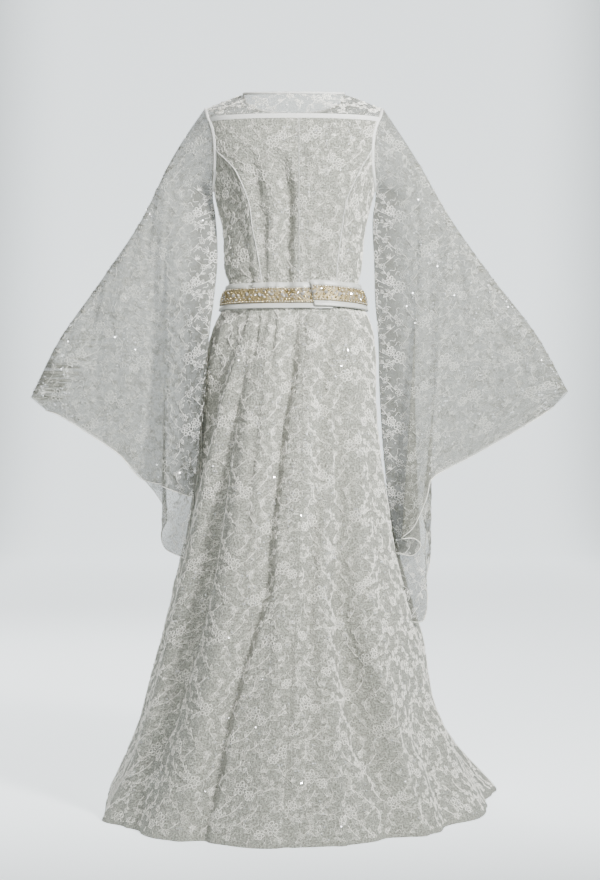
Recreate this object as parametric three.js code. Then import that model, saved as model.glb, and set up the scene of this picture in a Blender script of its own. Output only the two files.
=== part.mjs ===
// A floor-length elf dress of white corded lace over a plain lining: a sheer yoke with a wide boat neck, a fitted
// bodice with princess seams, a gored skirt with a short train, wide hanging sleeves, and a beaded belt that laps at
// the back. It is hollow, in the form that it takes when it is worn.
// Millimetres. +Z is up, +Y is the wearer's front, +X the wearer's right. The origin is midway between the shoulders.
import * as THREE from 'three';

// Driving sizes
const FLOOR = -1374;            // the hem stands on the floor, this far under the shoulders
const LINED_WALL = 2;           // lace and lining together
const SHEER_WALL = 1.2;         // lace alone
const SEAM_GAP = 0.3;
const YOKE_BOTTOM = -20;        // the sheer yoke ends here at the back, on the turned edge of the lining
const LINING_EDGE = 9;          // height of that turned edge
const WAIST = -378;
const UNDERARM = -164;
const SHOULDER = { x: 175, z: 2 };
const NECK_POINT = { x: 103, z: 30 };
const NECK_BACK = { y: -62, z: 22 };
const NECK_FRONT = { y: 74, z: 2 };
const ARMHOLE = { depth: 52, middle: -81, rise: 83 };
const NOTCH_BACK = -88;         // the princess seams run into the armholes here
const NOTCH_FRONT = -96;
const CENTRE_BACK = 10;         // x of the centre back seam
const PIPING = 1.7;             // radius of the corded seam round armholes and neck
const SHELL = 2.3;              // roundness of the sections: 2 is an ellipse, more is squarer

// Sections of bodice and skirt from the yoke down, as half-widths and depths from the origin's axis.
const SECTIONS = [
  { z: -20, left: 180, right: 180, back: 84, front: 86 },
  { z: -88, left: 175, right: 175, back: 93, front: 106 },
  { z: -164, left: 160, right: 160, back: 92, front: 122 },
  { z: -230, left: 145, right: 144, back: 86, front: 110 },
  { z: -264, left: 141, right: 139, back: 83, front: 101 },
  { z: -322, left: 138, right: 134, back: 81, front: 92 },
  { z: -341, left: 131, right: 129, back: 81, front: 90 },
  { z: -353, left: 130, right: 128, back: 82, front: 90 },
  { z: -378, left: 136, right: 135, back: 90, front: 96 },
  { z: -404, left: 145, right: 143, back: 101, front: 105 },
  { z: -440, left: 163, right: 158, back: 122, front: 121 },
  { z: -500, left: 180, right: 167, back: 142, front: 134 },
  { z: -570, left: 190, right: 168, back: 162, front: 144 },
  { z: -640, left: 197, right: 171, back: 184, front: 154 },
  { z: -700, left: 202, right: 177, back: 202, front: 163 },
  { z: -780, left: 210, right: 188, back: 228, front: 176 },
  { z: -860, left: 218, right: 198, back: 255, front: 192 },
  { z: -940, left: 236, right: 214, back: 286, front: 210 },
  { z: -1000, left: 247, right: 230, back: 309, front: 225 },
  { z: -1060, left: 262, right: 250, back: 336, front: 241 },
  { z: -1144, left: 286, right: 269, back: 378, front: 264 },
  { z: -1228, left: 310, right: 296, back: 424, front: 288 },
  { z: -1300, left: 342, right: 328, back: 462, front: 310 },
  { z: -1344, left: 364, right: 353, back: 488, front: 326 },
  { z: -1374, left: 380, right: 368, back: 508, front: 338 },
];

// Folds of the skirt, by their angle in degrees from the centre back, the wearer's right positive. Depths are how far
// a hollow sinks, and a ridge's are negative. Each is given at the belt, the hip, the knee and the hem.
const FOLD_LEVELS = [-404, -640, -1000, -1374];
const FOLDS = [
  { name: 'left side hollow', angles: [-82, -88, -90, -86], depths: [0, 10, 24, 8], halfWidth: 15 },
  { name: 'left hip fold', angles: [-48, -58, -66, -70], depths: [3, 15, 8, 4], halfWidth: 8 },
  { name: 'long left ridge', angles: [-40, -47, -54, -47], depths: [-2, -8, -16, -17], halfWidth: 9 },
  { name: 'long left fold', angles: [-30, -36, -35, -37], depths: [4, 15, 26, 30], halfWidth: 9 },
  { name: 'broad left ridge', angles: [-14, -22, -25, -29], depths: [-2, -5, -8, -10], halfWidth: 9 },
  { name: 'centre fold', angles: [6, -5, -11, -19], depths: [6, 12, 14, 24], halfWidth: 8 },
  { name: 'middle ridge', angles: [16, 6, -2, -7], depths: [-2, -6, -8, -10], halfWidth: 8 },
  { name: 'right shallow fold', angles: [30, 18, 7, 4], depths: [3, 9, 12, 14], halfWidth: 8 },
  { name: 'deep right fold', angles: [42, 33, 22, 22], depths: [3, 9, 26, 34], halfWidth: 9 },
  { name: 'long right ridge', angles: [50, 41, 31, 29], depths: [-1, -6, -12, -14], halfWidth: 6 },
  { name: 'narrow right fold', angles: [60, 50, 38, 34], depths: [0, 4, 8, 16], halfWidth: 6 },
  { name: 'right hip ridge', angles: [72, 68, 63, 66], depths: [0, -3, -8, -14], halfWidth: 11 },
  { name: 'right side hollow', angles: [84, 88, 89, 88], depths: [0, 10, 26, 4], halfWidth: 14 },
  { name: 'spread corner', angles: [108, 110, 112, 112], depths: [0, 0, -6, -64], halfWidth: 20 },
  { name: 'right front ridge', angles: [116, 116, 107, 132], depths: [0, -4, -28, -8], halfWidth: 12 },
  { name: 'right front fold', angles: [140, 138, 136, 146], depths: [2, 9, 18, 22], halfWidth: 9 },
  { name: 'front ridge', angles: [158, 158, 160, 162], depths: [-1, -5, -12, -14], halfWidth: 10 },
  { name: 'front fold', angles: [176, 176, 178, 178], depths: [2, 8, 16, 20], halfWidth: 9 },
  { name: 'front left ridge', angles: [-162, -160, -158, -158], depths: [-1, -6, -12, -14], halfWidth: 10 },
  { name: 'left front fold', angles: [-142, -140, -138, -138], depths: [2, 9, 18, 22], halfWidth: 9 },
  { name: 'left side ridge', angles: [-116, -114, -107, -112], depths: [0, -5, -26, -14], halfWidth: 12 },
];
const FLARE_FROM = -1210;       // the spread corner opens between here and the floor
const GATHERS = { count: 9, from: -44, to: 50, depth: 3.6, halfWidth: 4.4, end: -540 };

// Princess seams of the bodice: x at the back on the left and right, and at the front on either side.
const PRINCESS = [
  { z: -378, left: -62, right: 84, front: 76 },
  { z: -322, left: -70, right: 85, front: 80 },
  { z: -264, left: -79, right: 92, front: 86 },
  { z: -188, left: -92, right: 104, front: 92 },
  { z: -129, left: -116, right: 130, front: 116 },
];
// Seams of the skirt's seven gores, as angles at the belt and at the hem.
const GORE_SEAMS = {
  centreBack: [6.4, -2], backLeft: [-37, -42], backRight: [45, 44], left: [-90, -90], right: [90, 90],
  frontLeft: [-146, -148], frontRight: [146, 148],
};

// Sleeves. The crest runs over the arm from shoulder to wrist; the inner edge is the underarm seam, from armpit to tip.
const LEFT_CREST = [
  { share: 0, x: -176.4, y: 0, z: 3.2 }, { share: 0.16, x: -236, y: -4, z: -82 },
  { share: 0.36, x: -304, y: -6, z: -219 }, { share: 0.58, x: -379, y: -4, z: -332 },
  { share: 0.8, x: -469, y: 0, z: -460 }, { share: 1, x: -526, y: 4, z: -574 },
];
const RIGHT_CREST = [
  { share: 0, x: 176.4, y: 0, z: 3.2 }, { share: 0.16, x: 237, y: -4, z: -86 },
  { share: 0.36, x: 311, y: -6, z: -215 }, { share: 0.58, x: 394, y: -4, z: -333 },
  { share: 0.8, x: 482, y: 0, z: -446 }, { share: 1, x: 548, y: 4, z: -563 },
];
const LEFT_INNER = [
  { z: -164, x: -162.5, y: 0 }, { z: -230, x: -155, y: -6 }, { z: -300, x: -152, y: -18 },
  { z: -380, x: -158, y: -44 }, { z: -454, x: -166, y: -76 }, { z: -540, x: -172, y: -94 },
  { z: -620, x: -179, y: -96 }, { z: -700, x: -187, y: -92 }, { z: -773, x: -197, y: -78 },
  { z: -840, x: -210, y: -46 }, { z: -896, x: -219, y: -10 },
];
const RIGHT_INNER = [
  { z: -164, x: 162.5, y: 0 }, { z: -230, x: 157, y: 0 }, { z: -300, x: 160, y: 0 },
  { z: -380, x: 162, y: 0 }, { z: -454, x: 168, y: 0 }, { z: -540, x: 170, y: 2 },
  { z: -620, x: 174, y: 4 }, { z: -700, x: 180, y: 4 }, { z: -780, x: 188, y: 4 },
  { z: -856, x: 199, y: 4 }, { z: -940, x: 215, y: 6 }, { z: -1024, x: 232, y: 8 },
];
// Hems of the four sleeve halves from the inner edge to the wrist. A row for each bend, so that where x turns back
// the hem folds under itself.
const LEFT_BACK_HEM = [
  { share: 0, x: -197, y: -79, z: -773 }, { share: 0.1, x: -232, y: -76, z: -762 },
  { share: 0.18, x: -264, y: -58, z: -750 }, { share: 0.23, x: -258, y: -32, z: -748 },
  { share: 0.32, x: -285, y: -15, z: -744 }, { share: 0.4, x: -312, y: -12, z: -732 },
  { share: 0.5, x: -345, y: -14, z: -692 }, { share: 0.66, x: -400, y: -12, z: -654 },
  { share: 0.85, x: -465, y: -10, z: -613 }, { share: 1, x: -497, y: 2.4, z: -600 },
];
const LEFT_FRONT_HEM = [
  { share: 0, x: -219, y: -7, z: -896 }, { share: 0.08, x: -243, y: 6, z: -886 },
  { share: 0.15, x: -268, y: 12, z: -873 }, { share: 0.2, x: -268, y: 22, z: -846 },
  { share: 0.26, x: -256, y: 30, z: -818 }, { share: 0.33, x: -270, y: 38, z: -782 },
  { share: 0.42, x: -304, y: 32, z: -738 }, { share: 0.55, x: -356, y: 22, z: -684 },
  { share: 0.7, x: -408, y: 18, z: -646 }, { share: 0.86, x: -465, y: 16, z: -611 },
  { share: 1, x: -497, y: 5.6, z: -600 },
];
const RIGHT_BACK_HEM = [
  { share: 0, x: 205, y: 3.4, z: -886 }, { share: 0.06, x: 240, y: -2, z: -890 },
  { share: 0.11, x: 264, y: -6, z: -897 }, { share: 0.15, x: 268, y: -14, z: -868 },
  { share: 0.19, x: 240, y: -20, z: -854 }, { share: 0.22, x: 214, y: -26, z: -856 },
  { share: 0.27, x: 238, y: -34, z: -832 }, { share: 0.32, x: 262, y: -38, z: -778 },
  { share: 0.37, x: 272, y: -32, z: -740 }, { share: 0.45, x: 305, y: -16, z: -718 },
  { share: 0.54, x: 347, y: -12, z: -697 }, { share: 0.7, x: 420, y: -12, z: -656 },
  { share: 0.86, x: 486, y: -10, z: -616 }, { share: 1, x: 521, y: 2.4, z: -592 },
];
const RIGHT_FRONT_HEM = [
  { share: 0, x: 232, y: 8.6, z: -1024 }, { share: 0.06, x: 254, y: 12, z: -1026 },
  { share: 0.12, x: 279, y: 16, z: -1022 }, { share: 0.17, x: 274, y: 30, z: -978 },
  { share: 0.22, x: 266, y: 36, z: -945 }, { share: 0.28, x: 276, y: 46, z: -896 },
  { share: 0.33, x: 270, y: 50, z: -850 }, { share: 0.38, x: 260, y: 54, z: -800 },
  { share: 0.46, x: 278, y: 44, z: -738 }, { share: 0.6, x: 356, y: 26, z: -690 },
  { share: 0.76, x: 426, y: 18, z: -650 }, { share: 0.9, x: 486, y: 14, z: -614 },
  { share: 1, x: 521, y: 5.6, z: -592 },
];
// Soft folds that fan out from the shoulder down a sleeve's half: where along the hem, and how far in they sink.
const SLEEVE_FOLDS = [
  { along: 0.3, depth: 9, halfWidth: 0.07 }, { along: 0.47, depth: -6, halfWidth: 0.09 },
  { along: 0.63, depth: 8, halfWidth: 0.07 }, { along: 0.82, depth: -5, halfWidth: 0.08 },
];
const SLEEVE_ROUND = 34;        // how far the sleeve stands off the crest on each side, over the arm
const CUFF_ROUND = 26;

// The belt: a band with two satin edges and a beaded strip, lapped over itself at the back.
const BELT = {
  top: -353, bottom: -404, band: 2.4, border: 1.2, trim: 2, topBorder: 9, bottomBorder: 8, reveal: 2,
  lapX: 36, lapRise: 4, lapFade: 70, clear: 2.4,
};

const COLOURS = { lining: 0xcfd0ca, lace: 0xdcddd8, seam: 0xe6e6e1, satin: 0xd8d8d2, beads: 0xb89b5a };
const cloth = (colour, roughness, opacity = 1) =>
  new THREE.MeshStandardMaterial({ color: colour, roughness, metalness: 0, opacity, transparent: opacity < 1 });
const MATERIALS = {
  lined: cloth(COLOURS.lining, 0.75),
  sheer: cloth(COLOURS.lace, 0.8, 0.6),
  seam: cloth(COLOURS.seam, 0.7),
  satin: cloth(COLOURS.satin, 0.4),
  beads: new THREE.MeshStandardMaterial({ color: COLOURS.beads, roughness: 0.35, metalness: 0.8 }),
};

// Small helpers
const clamp01 = (value) => Math.min(1, Math.max(0, value));
const smooth = (value) => clamp01(value) ** 2 * (3 - 2 * clamp01(value));
const mix = (from, to, share) => from + (to - from) * share;
const radians = THREE.MathUtils.degToRad;
const hump = (value) => (Math.abs(value) < 1 ? (1 + Math.cos(Math.PI * value)) / 2 : 0);
const vector = (x, y, z) => new THREE.Vector3(x, y, z);

// Reads a table's column at a place along its key column, on a smooth curve through the rows.
function read(table, key, column, at) {
  const falling = table[0][key] > table[table.length - 1][key];
  const place = (row) => (falling ? -row[key] : row[key]);
  const target = falling ? -at : at;
  let i = 0;
  while (i < table.length - 2 && place(table[i + 1]) < target) i += 1;
  const [before, from, to, after] = [-1, 0, 1, 2].map((step) => table[THREE.MathUtils.clamp(i + step, 0, table.length - 1)]);
  const width = place(to) - place(from);
  const share = clamp01((target - place(from)) / width);
  const slope = (a, b) => (place(b) === place(a) ? 0 : ((b[column] - a[column]) / (place(b) - place(a))) * width);
  const [start, end] = [slope(before, to), slope(from, after)];
  const [s2, s3] = [share * share, share ** 3];
  return (2 * s3 - 3 * s2 + 1) * from[column] + (s3 - 2 * s2 + share) * start
    + (3 * s2 - 2 * s3) * to[column] + (s3 - s2) * end;
}

// A closed cloth wall over a grid of points. The points are its outer face, and the inner face lies a wall's thickness
// behind them, along the given normals or the grid's own.
function wall(columns, rows, pointAt, thickness, normalAt = null) {
  const outer = [];
  const inner = [];
  for (let j = 0; j <= rows; j += 1) {
    for (let i = 0; i <= columns; i += 1) {
      const [u, v] = [i / columns, j / rows];
      const point = pointAt(u, v);
      const normal = normalAt ? normalAt(u, v) : gridNormal(pointAt, u, v);
      outer.push(point);
      inner.push(point.clone().addScaledVector(normal, -thickness));
    }
  }
  const points = [...outer, ...inner];
  const at = (i, j, side) => side * outer.length + j * (columns + 1) + i;
  const faces = [];
  const quad = (a, b, c, d) => faces.push(a, b, c, a, c, d);
  for (let j = 0; j < rows; j += 1) {
    for (let i = 0; i < columns; i += 1) {
      quad(at(i, j, 0), at(i + 1, j, 0), at(i + 1, j + 1, 0), at(i, j + 1, 0));
      quad(at(i, j, 1), at(i, j + 1, 1), at(i + 1, j + 1, 1), at(i + 1, j, 1));
    }
  }
  for (let i = 0; i < columns; i += 1) {
    quad(at(i, 0, 0), at(i, 0, 1), at(i + 1, 0, 1), at(i + 1, 0, 0));
    quad(at(i, rows, 0), at(i + 1, rows, 0), at(i + 1, rows, 1), at(i, rows, 1));
  }
  for (let j = 0; j < rows; j += 1) {
    quad(at(0, j, 0), at(0, j + 1, 0), at(0, j + 1, 1), at(0, j, 1));
    quad(at(columns, j, 0), at(columns, j, 1), at(columns, j + 1, 1), at(columns, j + 1, 0));
  }
  return solid(points, faces);
}

// Normal of a grid of points whose columns run to the right and rows upwards, seen from outside.
function gridNormal(pointAt, u, v) {
  const step = 1e-3;
  const across = pointAt(Math.min(1, u + step), v).sub(pointAt(Math.max(0, u - step), v));
  const up = pointAt(u, Math.min(1, v + step)).sub(pointAt(u, Math.max(0, v - step)));
  return across.cross(up).normalize();
}

// A closed geometry from points and faces, turned so that its faces point outwards.
function solid(points, faces) {
  let volume = 0;
  for (let i = 0; i < faces.length; i += 3) {
    const [a, b, c] = [points[faces[i]], points[faces[i + 1]], points[faces[i + 2]]];
    volume += a.dot(b.clone().cross(c));
  }
  const index = volume < 0 ? faces.map((_, i) => faces[i - (i % 3) + 2 - (i % 3)]) : faces;
  const geometry = new THREE.BufferGeometry().setFromPoints(points);
  geometry.setIndex(index);
  geometry.computeVertexNormals();
  return geometry;
}

// A round cord along a closed loop of points. Its section's axes are the given direction at each point and the loop's.
function cordLoop(loop, radius, sides) {
  const count = loop.length;
  const points = [];
  loop.forEach((point, i) => {
    const along = loop[(i + 1) % count].clone().sub(loop[(i + count - 1) % count]).normalize();
    const first = vector(0, 0, 1).addScaledVector(along, -along.z);
    if (first.length() < 0.3) first.copy(vector(1, 0, 0).addScaledVector(along, -along.x));
    first.normalize();
    const second = along.clone().cross(first);
    for (let k = 0; k < sides; k += 1) {
      const turn = (2 * Math.PI * k) / sides;
      points.push(point.clone().addScaledVector(first, radius * Math.cos(turn)).addScaledVector(second, radius * Math.sin(turn)));
    }
  });
  const faces = [];
  for (let i = 0; i < count; i += 1) {
    for (let k = 0; k < sides; k += 1) {
      const [a, b] = [i * sides + k, i * sides + ((k + 1) % sides)];
      const [c, d] = [((i + 1) % count) * sides + k, ((i + 1) % count) * sides + ((k + 1) % sides)];
      faces.push(a, b, d, a, d, c);
    }
  }
  return solid(points, faces);
}

// The dress's shell, by angle from the centre back and height.
function section(angle, z) {
  const [side, depth] = [Math.sin(angle), Math.cos(angle)];
  const half = read(SECTIONS, 'z', side < 0 ? 'left' : 'right', z);
  const reach = read(SECTIONS, 'z', depth > 0 ? 'back' : 'front', z);
  return (Math.abs(side / half) ** SHELL + Math.abs(depth / reach) ** SHELL) ** (-1 / SHELL);
}

const degreesApart = (a, b) => THREE.MathUtils.euclideanModulo(a - b + 180, 360) - 180;
const FOLD_TABLES = FOLDS.map((fold) => ({
  halfWidth: fold.halfWidth,
  table: FOLD_LEVELS.map((z, i) => ({ z, angle: fold.angles[i], depth: fold.depths[i] })),
  late: fold.name === 'spread corner',
}));

function foldDepth(angle, z) {
  if (z > BELT.bottom) return 0;
  const degrees = THREE.MathUtils.radToDeg(angle);
  const depth = FOLD_TABLES.reduce((sum, fold) => {
    const centre = read(fold.table, 'z', 'angle', z);
    const late = fold.late ? clamp01((FLARE_FROM - z) / (FLARE_FROM - FLOOR)) ** 1.2 * fold.table[3].depth : null;
    return sum + (late ?? read(fold.table, 'z', 'depth', z)) * hump(degreesApart(degrees, centre) / (2 * fold.halfWidth));
  }, 0);
  const fade = smooth((z - GATHERS.end) / (BELT.bottom - GATHERS.end));
  let gathers = 0;
  for (let i = 0; i < GATHERS.count; i += 1) {
    const centre = mix(GATHERS.from, GATHERS.to, i / (GATHERS.count - 1));
    gathers += GATHERS.depth * hump(degreesApart(degrees, centre) / GATHERS.halfWidth);
  }
  return (depth + gathers * fade) * smooth((BELT.bottom - z) / 16);
}

function shell(angle, z) {
  const reach = section(angle, z) - foldDepth(angle, z);
  return vector(reach * Math.sin(angle), -reach * Math.cos(angle), z);
}

function shellNormal(angle, z) {
  const step = 2e-3;
  const across = shell(angle + step, z).sub(shell(angle - step, z));
  const up = shell(angle, Math.min(z + 1, YOKE_BOTTOM)).sub(shell(angle, Math.max(z - 1, FLOOR)));
  return across.cross(up).normalize();
}

// The angle of the shell's point at a given x, on the back or the front, and at a given y beside the armhole.
function angleAtX(x, z, onBack) {
  const half = read(SECTIONS, 'z', x < 0 ? 'left' : 'right', z);
  const reach = read(SECTIONS, 'z', onBack ? 'back' : 'front', z);
  const y = reach * (1 - Math.abs(x / half) ** SHELL) ** (1 / SHELL);
  return Math.atan2(x, onBack ? y : -y);
}

function armholeAngle(z, onBack) {
  const rise = THREE.MathUtils.clamp((z - ARMHOLE.middle) / ARMHOLE.rise, -1, 1);
  const y = ARMHOLE.depth * Math.sqrt(1 - rise * rise);
  const half = read(SECTIONS, 'z', 'right', z);
  const reach = read(SECTIONS, 'z', onBack ? 'back' : 'front', z);
  const x = half * (1 - (y / reach) ** SHELL) ** (1 / SHELL);
  return Math.atan2(x, onBack ? y : -y);
}

// Height of the armhole's edge at an angle between the notch and the side seam.
function armholeHeight(angle, onBack) {
  let [low, high] = [UNDERARM, onBack ? NOTCH_BACK : NOTCH_FRONT];
  for (let i = 0; i < 40; i += 1) {
    const middle = (low + high) / 2;
    const beyond = onBack ? armholeAngle(middle, true) < angle : armholeAngle(middle, false) > angle;
    if (beyond) high = middle;
    else low = middle;
  }
  return (low + high) / 2;
}

// A seam's angle at a height: the princess seam up to its notch, then the armhole's edge. Side is -1 left, 1 right.
function princessAngle(side, onBack, z) {
  const notch = onBack ? NOTCH_BACK : NOTCH_FRONT;
  if (z >= notch) return side * armholeAngle(z, onBack);
  const column = onBack ? (side < 0 ? 'left' : 'right') : 'front';
  const top = { z: notch, left: 0, right: 0, front: 0 };
  const edge = shell(armholeAngle(notch, onBack), notch).x;
  Object.assign(top, { left: -edge, right: edge, front: edge });
  const x = read([...PRINCESS, top], 'z', column, z);
  return angleAtX(onBack ? x : side * x, z, onBack);
}

// A panel of the shell between two edges given as angles, drawn in by half the seam's gap.
function shellPanel(columns, heights, leftEdge, rightEdge, thickness, topOf = null) {
  const rows = heights.length - 1;
  const place = (u, v) => {
    const k = Math.min(rows - 1, Math.floor(v * rows));
    const z = mix(heights[k], heights[k + 1], v * rows - k);
    const [from, to] = [leftEdge(z), rightEdge(z)];
    const inset = SEAM_GAP / 2 / section((from + to) / 2, z);
    const angle = mix(from + inset, to - inset, u);
    return topOf ? topOf(angle, z, u, v) : [angle, z];
  };
  return wall(columns, rows, (u, v) => shell(...place(u, v)), thickness, (u, v) => shellNormal(...place(u, v)));
}

const steps = (from, to, count) => Array.from({ length: count + 1 }, (_, i) => mix(from, to, i / count));

// Bodice
const BODICE_TOP = YOKE_BOTTOM - LINING_EDGE - SEAM_GAP;
const BODICE_BOTTOM = WAIST + SEAM_GAP / 2;
const BODICE_ROWS = 8;
const centreBackAngle = (z) => angleAtX(CENTRE_BACK, z, true);
const lowFirst = (share) => share * (0.7 + 0.3 * share);
const bodiceHeights = (notch) => [
  ...steps(0, 1, BODICE_ROWS).map((share) => mix(BODICE_BOTTOM, notch, lowFirst(share))),
  ...steps(notch, BODICE_TOP, 4).slice(1),
];

function bodiceBack(side) {
  const edges = [centreBackAngle, (z) => princessAngle(side, true, z)];
  if (side < 0) edges.reverse();
  return shellPanel(6, bodiceHeights(NOTCH_BACK), ...edges, LINED_WALL);
}

function bodiceFront() {
  const left = (z) => princessAngle(-1, false, z) + 2 * Math.PI;
  return shellPanel(12, bodiceHeights(NOTCH_FRONT), (z) => princessAngle(1, false, z), left, LINED_WALL);
}

// A side panel runs from the waist up to the armhole's curve, between a princess seam and the side seam.
function bodiceSide(side, onBack) {
  const notch = onBack ? NOTCH_BACK : NOTCH_FRONT;
  const notchAngle = armholeAngle(notch, onBack);
  const place = (u, v) => {
    const topAngle = mix(notchAngle, Math.PI / 2, u);
    const top = armholeHeight(topAngle, onBack);
    const z = mix(BODICE_BOTTOM, top, lowFirst(v));
    const seam = Math.abs(princessAngle(side, onBack, mix(BODICE_BOTTOM, notch, lowFirst(v))));
    const inset = SEAM_GAP / 2 / section(Math.PI / 2, z);
    const toward = onBack ? 1 : -1;
    const angle = mix(seam + toward * inset, Math.PI / 2 - toward * inset, u);
    return [side * angle, z];
  };
  return wall(6, BODICE_ROWS, (u, v) => shell(...place(u, v)), LINED_WALL, (u, v) => shellNormal(...place(u, v)));
}

// Turned edge of the lining, a narrow band across the back or the front under the yoke.
function liningEdge(onBack) {
  const [from, to] = onBack ? [(z) => -armholeAngle(z, true), (z) => armholeAngle(z, true)]
    : [(z) => armholeAngle(z, false), (z) => 2 * Math.PI - armholeAngle(z, false)];
  return shellPanel(16, [YOKE_BOTTOM - LINING_EDGE, YOKE_BOTTOM], from, to, LINED_WALL + 0.6);
}

// Yoke: from the lining's edge up to the shoulder seams and the boat neck.
const NECK_SHARE = 0.62;        // the part of the yoke's width that the neck takes
const neckCurve = (turn, end) => {
  const x = NECK_POINT.x * Math.sin(turn * (Math.PI / 2));
  const bow = Math.cos(turn * (Math.PI / 2)) ** 0.8;
  return vector(x, end.y * bow, mix(NECK_POINT.z, end.z, bow));
};

function yokeTop(across, onBack) {
  const side = Math.sign(across);
  const share = Math.abs(across);
  const seam = onBack ? -SEAM_GAP / 2 : SEAM_GAP / 2;
  if (share <= NECK_SHARE) return neckCurve(across / NECK_SHARE, onBack ? NECK_BACK : NECK_FRONT).add(vector(0, seam, 0));
  const along = (share - NECK_SHARE) / (1 - NECK_SHARE);
  return vector(side * mix(NECK_POINT.x, SHOULDER.x, along), seam, mix(NECK_POINT.z, SHOULDER.z, along ** 1.15));
}

function yokePoint(across, up, onBack) {
  const z = YOKE_BOTTOM + SEAM_GAP;
  const reach = armholeAngle(z, onBack);
  const angle = onBack ? across * reach : Math.PI - across * (Math.PI - reach);
  const bottom = shell(angle, Math.min(z, YOKE_BOTTOM)).setZ(z);
  const bulge = 7 * Math.sin(Math.PI * up) * (1 - 0.5 * Math.abs(across));
  return bottom.lerp(yokeTop(across, onBack), up).add(vector(0, onBack ? -bulge : bulge, bulge * 0.4));
}

function yokeNormal(across, up, onBack) {
  const reach = armholeAngle(YOKE_BOTTOM, onBack);
  const low = shellNormal(onBack ? across * reach : Math.PI - across * (Math.PI - reach), YOKE_BOTTOM);
  const high = vector(0.3 * across, 0, 1);
  const neck = 1 - smooth((Math.abs(across) - 0.4) / 0.2);
  high.y = (onBack ? -1.2 : 1.2) * neck;
  return low.lerp(high.normalize(), smooth(up)).normalize();
}

function yoke(onBack) {
  const across = (u) => (onBack ? 1 : -1) * mix(-1, 1, u);
  return wall(24, 5, (u, v) => yokePoint(across(u), v, onBack), SHEER_WALL, (u, v) => yokeNormal(across(u), v, onBack));
}

const ARMHOLE_ROWS = 7;

// Points round an armhole from the shoulder down the back, and up the front, moved outwards from the bodice's edge.
function armholeEdge(side, onBack, share) {
  const yokeShare = 1 / ARMHOLE_ROWS;
  if (share < yokeShare) return yokePoint(side, 1 - share / yokeShare, onBack);
  const turn = mix(Math.acos((YOKE_BOTTOM - ARMHOLE.middle) / ARMHOLE.rise), Math.PI, (share - yokeShare) / (1 - yokeShare));
  const z = ARMHOLE.middle + ARMHOLE.rise * Math.cos(turn);
  return shell(side * armholeAngle(z, onBack), z);
}

function outwards(side, onBack, share, distance) {
  const turn = share * Math.PI;
  const fall = vector(side, 0, 0.3 * Math.cos(turn) + 1.5 * Math.max(0, -Math.cos(turn)) ** 3);
  return fall.normalize().multiplyScalar(distance);
}

function armholeCord(side) {
  const half = ARMHOLE_ROWS;
  const clear = PIPING + 0.7;
  const loop = [];
  for (let i = 0; i < half; i += 1) loop.push([true, i / half]);
  for (let i = half; i > 0; i -= 1) loop.push([false, i / half]);
  const points = loop.map(([onBack, share]) => {
    const lowered = armholeEdge(side, onBack, share).add(vector(0, onBack ? LINED_WALL / 2 : -LINED_WALL / 2, 0));
    return lowered.add(outwards(side, onBack, share, clear));
  });
  return cordLoop(points, PIPING, 6);
}

function neckBinding() {
  const half = 18;
  const loop = [];
  const lift = PIPING + 0.5;
  for (let i = 0; i < half; i += 1) loop.push([mix(-1, 1, i / half), NECK_BACK]);
  for (let i = half; i > 0; i -= 1) loop.push([mix(-1, 1, i / half), NECK_FRONT]);
  const points = loop.map(([turn, end]) => {
    const point = neckCurve(turn, end);
    return point.add(vector(-Math.sign(turn) * lift * Math.abs(turn) ** 6, -Math.sign(point.y) * lift * 0.25, lift * 0.9));
  });
  return cordLoop(points, PIPING, 6);
}

// Skirt gores
const SKIRT_HEIGHTS = [FLOOR, -1338, -1280, -1200, -1100, -1000, -890, -780, -680, -590, -515, -460, -428, -404,
  WAIST - SEAM_GAP / 2];

function gore(columns, from, to) {
  const edge = ([belt, hem]) => (z) => radians(mix(belt, hem, smooth((BELT.bottom - z) / (BELT.bottom - FLOOR))));
  return shellPanel(columns, SKIRT_HEIGHTS, edge(from), edge(to), LINED_WALL);
}

const past = (seam) => seam.map((degrees) => degrees + 360);

// Sleeves
const SLEEVE_ROWS = 18;
const SEAM_STEP = SHEER_WALL + 0.8;     // each half stands this far off the underarm seam's line
const tablePoint = (table, share) => vector(...['x', 'y', 'z'].map((column) => read(table, 'share', column, share)));

// The edge of a sleeve half next to the body: half of the armhole, then the underarm seam down to the hem.
function sleeveInner(side, onBack, inner, end, down) {
  const outward = onBack ? -1 : 1;
  const armholePart = ARMHOLE_ROWS / SLEEVE_ROWS;
  const clear = (share) => 2 * PIPING + 1.6 + 1.4 * smooth((share - 0.8) / 0.2);
  if (down < armholePart) {
    const share = down / armholePart;
    const shift = outward * mix(SEAM_GAP / 2, SEAM_STEP, smooth((share - 0.6) / 0.4));
    return armholeEdge(side, onBack, share).add(outwards(side, onBack, share, clear(share))).add(vector(0, shift, 0));
  }
  const z = mix(UNDERARM, end, (down - armholePart) / (1 - armholePart));
  const start = armholeEdge(side, onBack, 1).add(outwards(side, onBack, 1, clear(1)));
  const edge = vector(read(inner, 'z', 'x', z), read(inner, 'z', 'y', z), z);
  const settle = smooth((UNDERARM - z) / 40);
  start.z = mix(start.z, z, smooth((UNDERARM - z) / 6));
  return start.lerp(edge, settle).add(vector(0, outward * SEAM_STEP, 0));
}

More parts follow.
